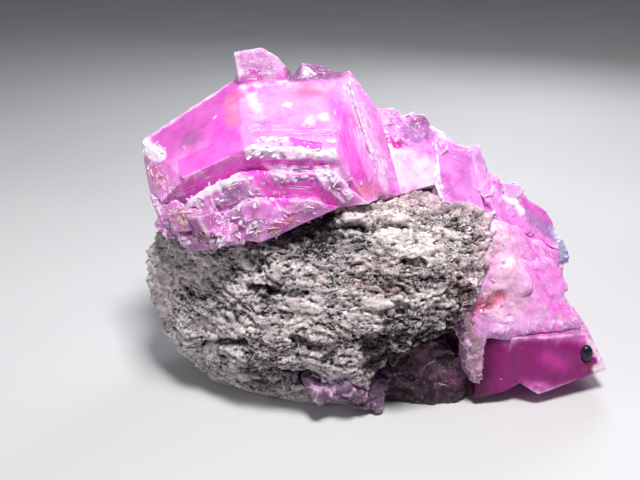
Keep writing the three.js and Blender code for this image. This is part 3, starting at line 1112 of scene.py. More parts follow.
@dataclass
class RockMatrix(Piece):
    """The grey foliated rock.

    Attributes:
        dip: How far its leaves fall over a millimetre to the right.
        leaves: The sizes of its leaves, the largest first.
        bend: How far the leaves are bent, in millimetres.
        sway: How far their borders wander, in millimetres.
        lumps: How high its broad lumps are, in millimetres.
        flutes: How high the relief along its leaves is, in millimetres.
        grit: How high its grains are, in millimetres.
        pits: How deep its small pits are, in millimetres.
        creases: How deep its creases are, in millimetres.
        bands: What is painted and raised at the listed places, in this order.
    """

    node: str = "matrix"
    slot: str = "rock"
    cell: float = 0.23
    seed: int = 3
    tint: Tint = Tint.GREY
    sharp: bool = False
    dip: float = 0.14
    leaves: tuple[Leaves, ...] = (
        Leaves((4.6, 4.6, 1.1), 0.5, 0.16, 0.22),
        Leaves((1.6, 1.6, 0.55), 0.24, 0.2, 0.1, 31.0),
    )
    bend: float = 0.9
    sway: float = 0.8
    lumps: float = 0.46
    flutes: float = 0.18
    grit: float = 0.1
    pits: float = 0.25
    creases: float = 0.38
    bands: tuple[Band, ...] = (
        # painted shade in the hollow under the big crystal, in crevices and cracks and under the overhang;
        # dark broken spots
        Band((-9.8, -9.2, 20.8), (-5.4, -8.4, 22.6), 1.3, dark=1.0, pale=0.0, soft=0.8, ragged=0.8,
             lift=-0.2),
        Band((-13.4, -9.8, 19.9), (-9.6, -9.6, 20.2), 1.1, dark=0.62, soft=0.9, ragged=0.9),
        Band((-14.8, -9.8, 18.8), (-13.2, -10.4, 17.9), 0.7, dark=0.75, lift=-0.4, soft=0.4, ragged=0.7),
        Band((-14.6, -11.2, 15.6), (-9.8, -11.8, 15.1), 0.3, dark=0.95, lift=-0.9, soft=0.3, ragged=0.45),
        Band((-12.6, -11.8, 14.6), (-10.6, -12.0, 13.2), 0.8, dark=0.8, lift=-0.3, soft=0.4, ragged=0.9),
        Band((-20.0, -10.0, 7.4), (-15.2, -12.1, 9.2), 0.42, dark=0.95, lift=-0.8, soft=0.3, ragged=0.5),
        Band((-13.5, -12.6, 9.9), (-9.9, -13.6, 9.6), 0.9, dark=0.6, rough=1.0, soft=0.8, ragged=1.3),
        Band((-22.0, -8.0, 14.0), (-18.6, -9.8, 12.6), 0.8, dark=0.4, soft=0.8, ragged=0.9),
        Band((-14.6, -12.4, 5.0), (-8.0, -13.6, 5.4), 0.8, dark=0.75, lift=-0.4, soft=0.7, ragged=0.8),
        Band((0.2, -8.5, 22.2), (3.0, -8.5, 22.0), 0.22, dark=1.0, lift=-0.9, soft=0.2, ragged=0.25),
        Band((-1.6, -7.6, 22.6), (0.2, -8.5, 22.2), 0.5, dark=0.5, lift=-0.3, soft=0.3, ragged=0.4),
        Band((2.6, -11.3, 18.8), (5.0, -11.5, 18.8), 0.22, dark=1.0, lift=-0.5, soft=0.2, ragged=0.25),
        Band((5.4, -12.0, 17.0), (8.3, -11.4, 15.9), 0.9, dark=0.5, rough=1.0, soft=0.8, ragged=1.0),
        Band((2.0, -13.6, 12.6), (9.6, -11.6, 12.4), 1.6, dark=0.55, rough=1.0, soft=0.9, ragged=0.9),
        Band((-3.0, -13.8, 9.0), (1.6, -13.8, 8.2), 0.7, dark=0.55, soft=0.6, ragged=1.1),
        Band((-16.6, -11.6, 7.4), (-11.4, -13.2, 7.2), 0.5, dark=0.6, soft=0.5, ragged=1.1),
        Band((-1.0, -14.0, 9.6), (8.4, -12.6, 10.8), 1.0, dark=1.0, soft=0.5, ragged=0.6, lift=-0.4),
        Band((1.0, -12.6, 7.6), (9.6, -10.0, 7.4), 3.0, dark=0.97, soft=0.9, ragged=0.6),
        # pale smooth patches, rusty and pepper-spotted ones
        Band((-26.0, -3.6, 15.6), (-23.4, -5.4, 16.4), 1.2, pale=0.9, dark=0.0, soft=0.9, ragged=0.9),
        Band((-20.4, -8.2, 17.2), (-15.4, -9.6, 16.8), 0.8, pale=0.9, dark=0.0, soft=0.8, ragged=0.9),
        Band((-10.4, -12.0, 14.0), (-7.6, -12.4, 13.8), 1.2, pale=0.9, dark=0.0, soft=0.7, ragged=0.9),
        Band((-16.2, -11.4, 11.6), (-10.6, -12.8, 11.4), 0.8, pale=0.9, dark=0.0, soft=0.7, ragged=0.9),
        Band((-22.0, -9.4, 9.6), (-18.0, -10.8, 9.4), 0.8, pale=0.8, dark=0.0, soft=0.7, ragged=0.9),
        Band((-1.4, -12.6, 15.0), (1.8, -13.0, 14.2), 1.4, Tint.CREAM, 0.8, dark=0.0, soft=0.9, ragged=0.9),
        Band((-6.0, -10.8, 18.6), (-2.0, -11.0, 19.4), 0.9, pale=0.8, dark=0.0, soft=0.8, ragged=0.9),
        Band((-19.8, -9.0, 14.2), (-15.4, -10.4, 13.2), 0.9, dark=0.35, pale=0.0, soft=0.8, ragged=0.9),
        Band((-4.6, -12.4, 12.8), (-1.6, -13.0, 12.4), 0.6, dark=0.4, pale=0.0, soft=0.6, ragged=1.1),
        Band((-7.6, -12.6, 12.0), (-5.4, -13.0, 10.6), 1.0, Tint.DUSKY, stain=0.25, soft=0.9, ragged=1.2),
        Band((-2.4, -12.0, 16.6), (1.4, -12.2, 16.2), 0.9, Tint.DUSKY, stain=0.2, soft=0.9, ragged=1.2),
        Band((-14.4, -10.0, 20.2), (-10.0, -9.6, 20.9), 0.45, Tint.CORAL, stain=0.3, soft=0.4, ragged=0.8),
        Band((-9.0, -9.4, 22.8), (-2.0, -7.0, 23.6), 0.3, Tint.DUSKY, stain=0.3, soft=0.4, ragged=0.5),
        Band((0.6, -5.6, 24.6), (3.6, -5.2, 24.2), 0.5, Tint.CORAL, stain=0.45, soft=0.4, ragged=0.6),
        Band((9.0, -11.6, 12.0), (10.4, -11.0, 14.4), 0.8, Tint.BLUSH, 0.6, 0.3, stain=0.2, soft=0.6,
             ragged=0.9),
        Band((10.8, -10.4, 15.4), (12.4, -7.8, 17.3), 1.9, Tint.BLUSH, 0.9, 0.3, stain=0.1, dark=0.0,
             soft=1.2, ragged=1.3),
        Band((12.4, -7.4, 17.6), (13.2, -3.6, 20.4), 1.9, Tint.BLUSH, 0.85, 0.6, stain=0.15, dark=0.0,
             soft=1.2, ragged=1.3),
        Band((1.2, -7.6, 22.6), (3.6, -8.0, 22.8), 0.8, Tint.CREAM, 0.8, 0.0, dark=0.0, soft=0.5),
        Band((-2.0, -9.6, 21.0), (8.6, -8.8, 20.6), 2.2, Tint.CREAM, 0.75, soft=1.5, ragged=1.0),
        Band((3.0, -10.2, 20.6), (4.4, -10.4, 20.0), 1.5, Tint.CREAM, 0.7, 0.0, dark=0.0, lift=0.2,
             soft=0.7),
        Band((4.4, -4.2, 24.3), (7.0, -6.0, 23.4), 1.0, Tint.BLUSH, 0.6, stain=0.3, soft=0.7, ragged=0.8),
        Band((3.0, -4.6, 24.2), (13.0, -4.6, 21.8), 1.2, Tint.BLUSH, 0.85, rough=1.0, stain=0.3, lift=0.35,
             soft=0.7, ragged=0.8),
        Band((8.0, -7.2, 21.3), (12.0, -6.6, 20.2), 0.8, pale=0.1, dark=0.45, rough=1.0, stain=0.15,
             soft=0.7, ragged=1.2),
        Band((14.0, -5.6, 20.4), (12.8, -9.4, 11.4), 1.4, Tint.BLUSH, 0.6, 0.5, stain=0.1, soft=0.8,
             ragged=1.1),
        Band((-27.2, -1.4, 15.0), (-25.4, -5.8, 10.6), 1.4, Tint.CREAM, 0.6, 0.0, dark=0.0, soft=0.9,
             ragged=0.6),
        Band((-12.0, -12.8, 9.6), (-6.0, -13.6, 11.4), 1.8, Tint.CREAM, 0.5, soft=1.0, ragged=0.9),
        Band((-8.4, -13.6, 5.4), (-2.4, -13.6, 4.6), 1.0, Tint.LILAC, 0.6, 0.5, soft=0.5, ragged=0.9),
        Band((-3.4, -9.0, 22.9), (0.4, -8.2, 23.1), 0.5, Tint.CREAM, 0.8, dark=0.0, lift=0.3, soft=0.4,
             ragged=0.6),
        Band((-25.8, -5.0, 13.6), (-20.6, -7.6, 15.8), 1.8, Tint.CREAM, 0.9, dark=0.0, soft=1.2,
             ragged=1.2),
        Band((-24.0, -4.4, 17.0), (-19.6, -7.4, 17.6), 0.8, Tint.CREAM, 0.8, dark=0.1, soft=0.9,
             ragged=1.0),
        # deep shade laid over the pale patches
        Band((-4.4, -9.6, 21.4), (-2.6, -10.2, 20.8), 0.7, Tint.GREY, 0.1, dark=0.4, soft=0.8, ragged=0.8),
        Band((-8.0, -9.9, 19.8), (-2.6, -10.6, 20.0), 1.2, Tint.GREY, 0.1, dark=0.4, soft=1.0, ragged=0.8),
        Band((-8.6, -9.6, 20.2), (-5.2, -9.8, 21.4), 0.9, pale=0.0, dark=0.95, lift=-0.3, soft=0.6,
             ragged=0.7),
        Band((-11.4, -9.7, 19.9), (-8.6, -9.9, 19.7), 0.9, pale=0.0, dark=0.75, soft=0.7, ragged=0.9),
        Band((-4.8, -9.5, 22.2), (-0.6, -9.2, 22.0), 0.5, pale=0.0, dark=1.0, lift=-0.9, soft=0.3,
             ragged=0.3),
        Band((0.4, -9.1, 22.0), (3.0, -8.8, 22.0), 0.34, pale=0.0, dark=1.0, lift=-0.9, soft=0.2,
             ragged=0.2),
        Band((-16.3, -9.4, 17.1), (-14.2, -10.6, 17.0), 0.8, pale=0.1, dark=0.5, soft=0.7, ragged=0.9),
        Band((-8.9, -13.2, 9.2), (-3.8, -13.8, 9.0), 0.9, pale=0.1, dark=0.5, soft=0.8, ragged=1.1),
        Band((-14.8, -10.6, 2.4), (-9.9, -13.2, 4.2), 0.9, pale=0.0, dark=0.7, soft=0.8, ragged=0.9),
        Band((1.6, -13.5, 12.2), (5.4, -13.2, 12.0), 0.8, pale=0.0, dark=0.6, soft=0.6, ragged=1.0),
        Band((8.6, -11.4, 15.6), (10.2, -11.0, 14.4), 0.9, Tint.DUSKY, 0.0, stain=0.3, dark=0.45, soft=0.6,
             ragged=0.8),
    )

    def shape_skin(self, skin: Surface) -> Coat:
        """Gives the rock its leaves, ledges, cracks and grain, and paints shade into its creases and
        hollows.

        Args:
            skin: The skin.

        Returns:
            The painted colour and values.
        """
        noise = Noise(self.seed)
        where = skin.points.copy()
        free = smooth_step(0.05, 1.6, where[:, 2])
        warp = noise.rough(where, 5.0, 3)
        layered = where.copy()
        layered[:, 2] += self.dip * where[:, 0] + self.bend * warp
        layered[:, 0] += self.sway * noise.rough(where + 50, 3.0, 2)
        layered[:, 1] += self.sway * noise.rough(where - 50, 3.0, 2)
        height = np.zeros(len(where))
        for leaves in self.leaves:
            _, gap, share = noise.cells(layered + leaves.shift, leaves.size)
            height += leaves.step * (share - 0.5) - leaves.depth * smooth_step(leaves.crack, 0.0, gap)
        near, _, pit = noise.cells(where + 7, (0.9, 0.9, 0.7))
        fluted = noise.rough(layered, (2.4, 2.4, 0.7), 4, 0.62)
        height += self.lumps * noise.rough(where, 6.5, 3) + self.flutes * fluted
        pitted = smooth_step(0.45, 0.15, near) * (pit > 0.7)
        height += self.grit * noise.rough(where, 0.6, 2) - self.pits * pitted
        crease = smooth_step(0.09, 0.0, np.abs(noise.rough(layered + 11, (4.4, 4.4, 1.2), 4, 0.6)))
        height -= self.creases * crease
        coat = Coat.plain(len(where), self.tint)
        coat.blend(Tint.BEIGE, smooth_step(-12.0, 4.0, where[:, 0] + 3.0 * warp))
        coat.blend(Tint.DUSKY, 0.7 * smooth_step(0.2, 0.6, noise.rough(where + 80, 2.5, 4)))
        coat.blend(Tint.CREAM, 0.7 * smooth_step(0.1, 0.6, noise.rough(where - 80, 4.0, 3)))
        coat.marks[Mark.PALE] += 0.4
        # painted shade in the creases
        coat.marks[Mark.DARK] += 0.35 * crease
        coat.marks[Mark.ROUGH] += smooth_step(-0.5, 0.5, noise.rough(where + 120, 5.0, 3))
        height += self.lay_bands(coat, noise, where)
        skin.push((height - 0.15) * free)
        skin.points[:, 2] = np.maximum(skin.points[:, 2], 0.0)
        skin.write()
        # paler on raised points; painted shade in small and broad hollows
        fine, broad = skin.relief(4), skin.relief(24)
        coat.marks[Mark.PALE] += 0.7 * smooth_step(0.01, 0.12, fine)
        coat.marks[Mark.DARK] += 0.7 * smooth_step(0.07, 0.2, -fine) + 0.3 * smooth_step(0.2, 0.65, -broad)
        return coat

    def dress(self, mesh: bpy.types.Mesh, coat: Coat) -> None:
        """Rock all over."""
        mesh.shade_smooth()
        mesh.materials.append(RockFinish(self.slot).make())


@dataclass
class Crystal(Piece):
    """A crystal or crust: cleavage steps and lines, bruised edges, shade painted into its hollows, cloudy
    zones and loose slivers.

    Attributes:
        turns: How its lattice is turned about X, Y and Z, in degrees.
        steps: Edge length and depth, in millimetres, of each size of cleavage block.
        broken: How rough its broken zones are.
        cloudy: How pale it is all over.
        lined: How strong its cleavage lines are.
        lines: The lines' three directions, if they aren't the lattice's own.
        slivers: How many loose slivers it has.
        sliver: Their usual length in millimetres.
        tumbled: How far they are turned out of the lattice, in degrees.
        mosaic: How much its blocks differ in colour.
        deep: The colour of its deeper blocks.
        glow_mm: How far light spreads inside it, in millimetres.
        shine: How strongly it reflects.
        lumps: Length and height, in millimetres, of each size of lump.
        bent: How far its blocks' borders are bent, in millimetres.
        rib_spacing: How far apart the ribs along its lines are, in millimetres.
        rib_length: How long they are, in millimetres.
        rib_height: How high they are, in millimetres.
        edges: Over how much relief, in millimetres, an edge whitens.
        whitened: How white it gets.
        crevice_shade_relief: Over how much relief, in millimetres, a hollow darkens with painted shade.
        crevice_shade_strength: How far the painted shade deepens a hollow's colour towards magenta.
        frosted: How much of it is frosty.
        vivid: How much of it has a hot colour.
        sliver_spans: Least and most length against sliver, then width and thickness against length.
        sliver_rough: How rough a place is before it has more than a stray sliver.
        sliver_stray: The odds of a stray one.
        sliver_low: How high above the floor slivers begin, in millimetres.
    """

    turns: Point = (0.0, 0.0, 0.0)
    steps: Sizes = ((2.0, 0.34), (0.85, 0.22))
    broken: float = 0.5
    cloudy: float = 0.1
    lined: float = 0.3
    lines: tuple[Point, ...] = ()
    slivers: int = 0
    sliver: float = 0.36
    tumbled: float = 9.0
    mosaic: float = 0.5
    deep: Tint = Tint.ORCHID
    glow_mm: float = 0.45
    shine: float = 0.38
    lumps: Sizes = ((3.0, 0.03),)
    bent: float = 0.15
    rib_spacing: float = 0.55
    rib_length: float = 5.0
    rib_height: float = 0.09
    edges: tuple[float, float] = (0.012, 0.09)
    whitened: float = 0.65
    crevice_shade_relief: tuple[float, float] = (0.02, 0.3)
    crevice_shade_strength: float = 0.45
    frosted: float = 0.8
    vivid: float = 0.6
    sliver_spans: Sizes = ((0.5, 2.0), (0.1, 0.35), (0.06, 0.16))
    sliver_rough: float = 0.25
    sliver_stray: float = 0.001
    sliver_low: float = 1.0

    def line_directions(self) -> tuple[Point, ...]:
        """Directions of the three kinds of cleavage line."""
        return self.lines or tuple(tuple(row) for row in lattice(self.turns).tolist())

    def shape_skin(self, skin: Surface) -> Coat:
        """Gives the crystal its cleavage steps, ribs and marks.

        Args:
            skin: The skin.

        Returns:
            The painted colour and values.
        """
        noise = Noise(self.seed)
        where = skin.points.copy()
        coat = Coat.plain(len(where), self.tint)
        coat.blend(Tint.FROST, self.frosted * smooth_step(0.15, 0.7, noise.rough(where + 20, 4.5, 3)))
        coat.blend(Tint.HOT, self.vivid * smooth_step(0.15, 0.7, noise.rough(where - 20, 4.0, 3)))
        veils = noise.rough(where, (2.2, 2.2, 1.1), 4, 0.6)
        coat.marks[Mark.PALE] += self.cloudy + 0.35 * smooth_step(0.2, 0.8, veils)
        coat.marks[Mark.ROUGH] += self.broken * smooth_step(-0.2, 0.5, noise.rough(where + 60, 4.0, 3))
        for number, mark in enumerate(LINES):
            patches = noise.rough(where + 31 * (number + 1), 3.5, 2)
            coat.marks[mark] += self.lined * smooth_step(-0.4, 0.5, patches)
        height = self.lay_bands(coat, noise, where)
        axes = lattice(self.turns)
        warp = np.stack([noise.rough(where + shift, 1.8, 3) for shift in (140, 170, 200)], axis=1)
        uneven = where + self.bent * warp
        rough = coat.marks[Mark.ROUGH].copy()
        height += 0.05 * rough * noise.rough(where, 0.7, 2)
        for size, depth in self.steps:
            share = noise.blocks(uneven, axes, size)
            height += rough * depth * (share - 0.5)
            coat.blend(Tint.FROST, self.mosaic * rough * (share > 0.75))
            coat.blend(self.deep, self.mosaic * rough * (share < 0.35))
        for size, depth in self.lumps:
            height += depth * noise.rough(where + 5.0, size, 3, 0.6)
        for mark, along in zip(LINES, self.line_directions()):
            ribs = noise.fibres(where, along, self.rib_spacing, self.rib_length)
            height += self.rib_height * coat.marks[mark] * ribs
        skin.push(height)
        skin.points[:, 2] = np.maximum(skin.points[:, 2], 0.0)
        skin.write()
        fine, broad = skin.relief(3), skin.relief(16)
        bruised = 0.35 + 0.65 * smooth_step(-0.4, 0.3, noise.rough(where + 90, 1.6, 3))
        edge = smooth_step(*self.edges, fine) * bruised
        # painted shade: hollows turn deeper magenta and less pale
        crevice = smooth_step(*self.crevice_shade_relief, -broad)
        coat.blend(Tint.WHITE, self.whitened * edge)
        coat.blend(Tint.MAGENTA, self.crevice_shade_strength * crevice * (1 - coat.marks[Mark.PALE]))
        coat.marks[Mark.PALE] += 0.3 * edge - 0.3 * crevice
        self.lay_last_bands(coat, noise, where)
        return coat

    def strew(self, mesh: bpy.types.Mesh, coat: Coat) -> None:
        """Adds sharp cleavage slivers to the broken zones.

        Args:
            mesh: The skin; the slivers stay flat-faced and get the second material.
            coat: The painted values, extended in place.
        """
        draw = np.random.default_rng(self.seed)
        skin = Surface(mesh)
        odds = np.maximum(coat.marks[Mark.ROUGH] - self.sliver_rough, self.sliver_stray)
        odds *= skin.points[:, 2] > self.sliver_low
        rows = draw.choice(len(skin.points), self.slivers, p=odds / odds.sum())
        shape = bmesh.new()
        axes = lattice(self.turns)
        length, breadth, thickness = self.sliver_spans
        for row in rows:
            long = self.sliver * draw.uniform(*length)
            lying = np.argsort(np.abs(axes @ skin.normals[row]) + draw.uniform(0, 0.7, 3))
            edges = np.empty(3)
            edges[lying] = long, long * draw.uniform(*breadth), long * draw.uniform(*thickness)
            tilt = np.array(self.turns) + draw.normal(size=3) * self.tumbled
            block(shape, tuple(skin.points[row]), tuple(edges), tuple(tilt))
        for face in shape.faces:
            face.material_index = 1
        loose = bpy.data.meshes.new("slivers")
        shape.to_mesh(loose)
        shape.clear()
        shape.from_mesh(mesh)
        shape.from_mesh(loose)
        shape.to_mesh(mesh)
        shape.free()
        bpy.data.meshes.remove(loose)
        whites = 0.2 + 0.6 * draw.random(len(rows))
        coat.extend(np.repeat(rows, BLOCK_CORNERS), np.repeat(whites, BLOCK_CORNERS))

    def dress(self, mesh: bpy.types.Mesh, coat: Coat) -> None:
        """Crisp calcite, with slivers of the same stuff.

        Args:
            mesh: The worked-over skin.
            coat: The painted colour and values, changed in place.
        """
        mesh.shade_smooth()
        mesh.set_sharp_from_angle(angle=CREASE_ANGLE)
        lines = self.line_directions()
        body = CalciteFinish(self.slot, lines, glow_mm=self.glow_mm, shine=self.shine)
        splinters = CalciteFinish(self.slot + "_slivers", lines, glow=(1, 1, 1), glow_mm=0.1, shine=0.25)
        mesh.materials.append(body.make())
        mesh.materials.append(splinters.make())
        if self.slivers:
            self.strew(mesh, coat)


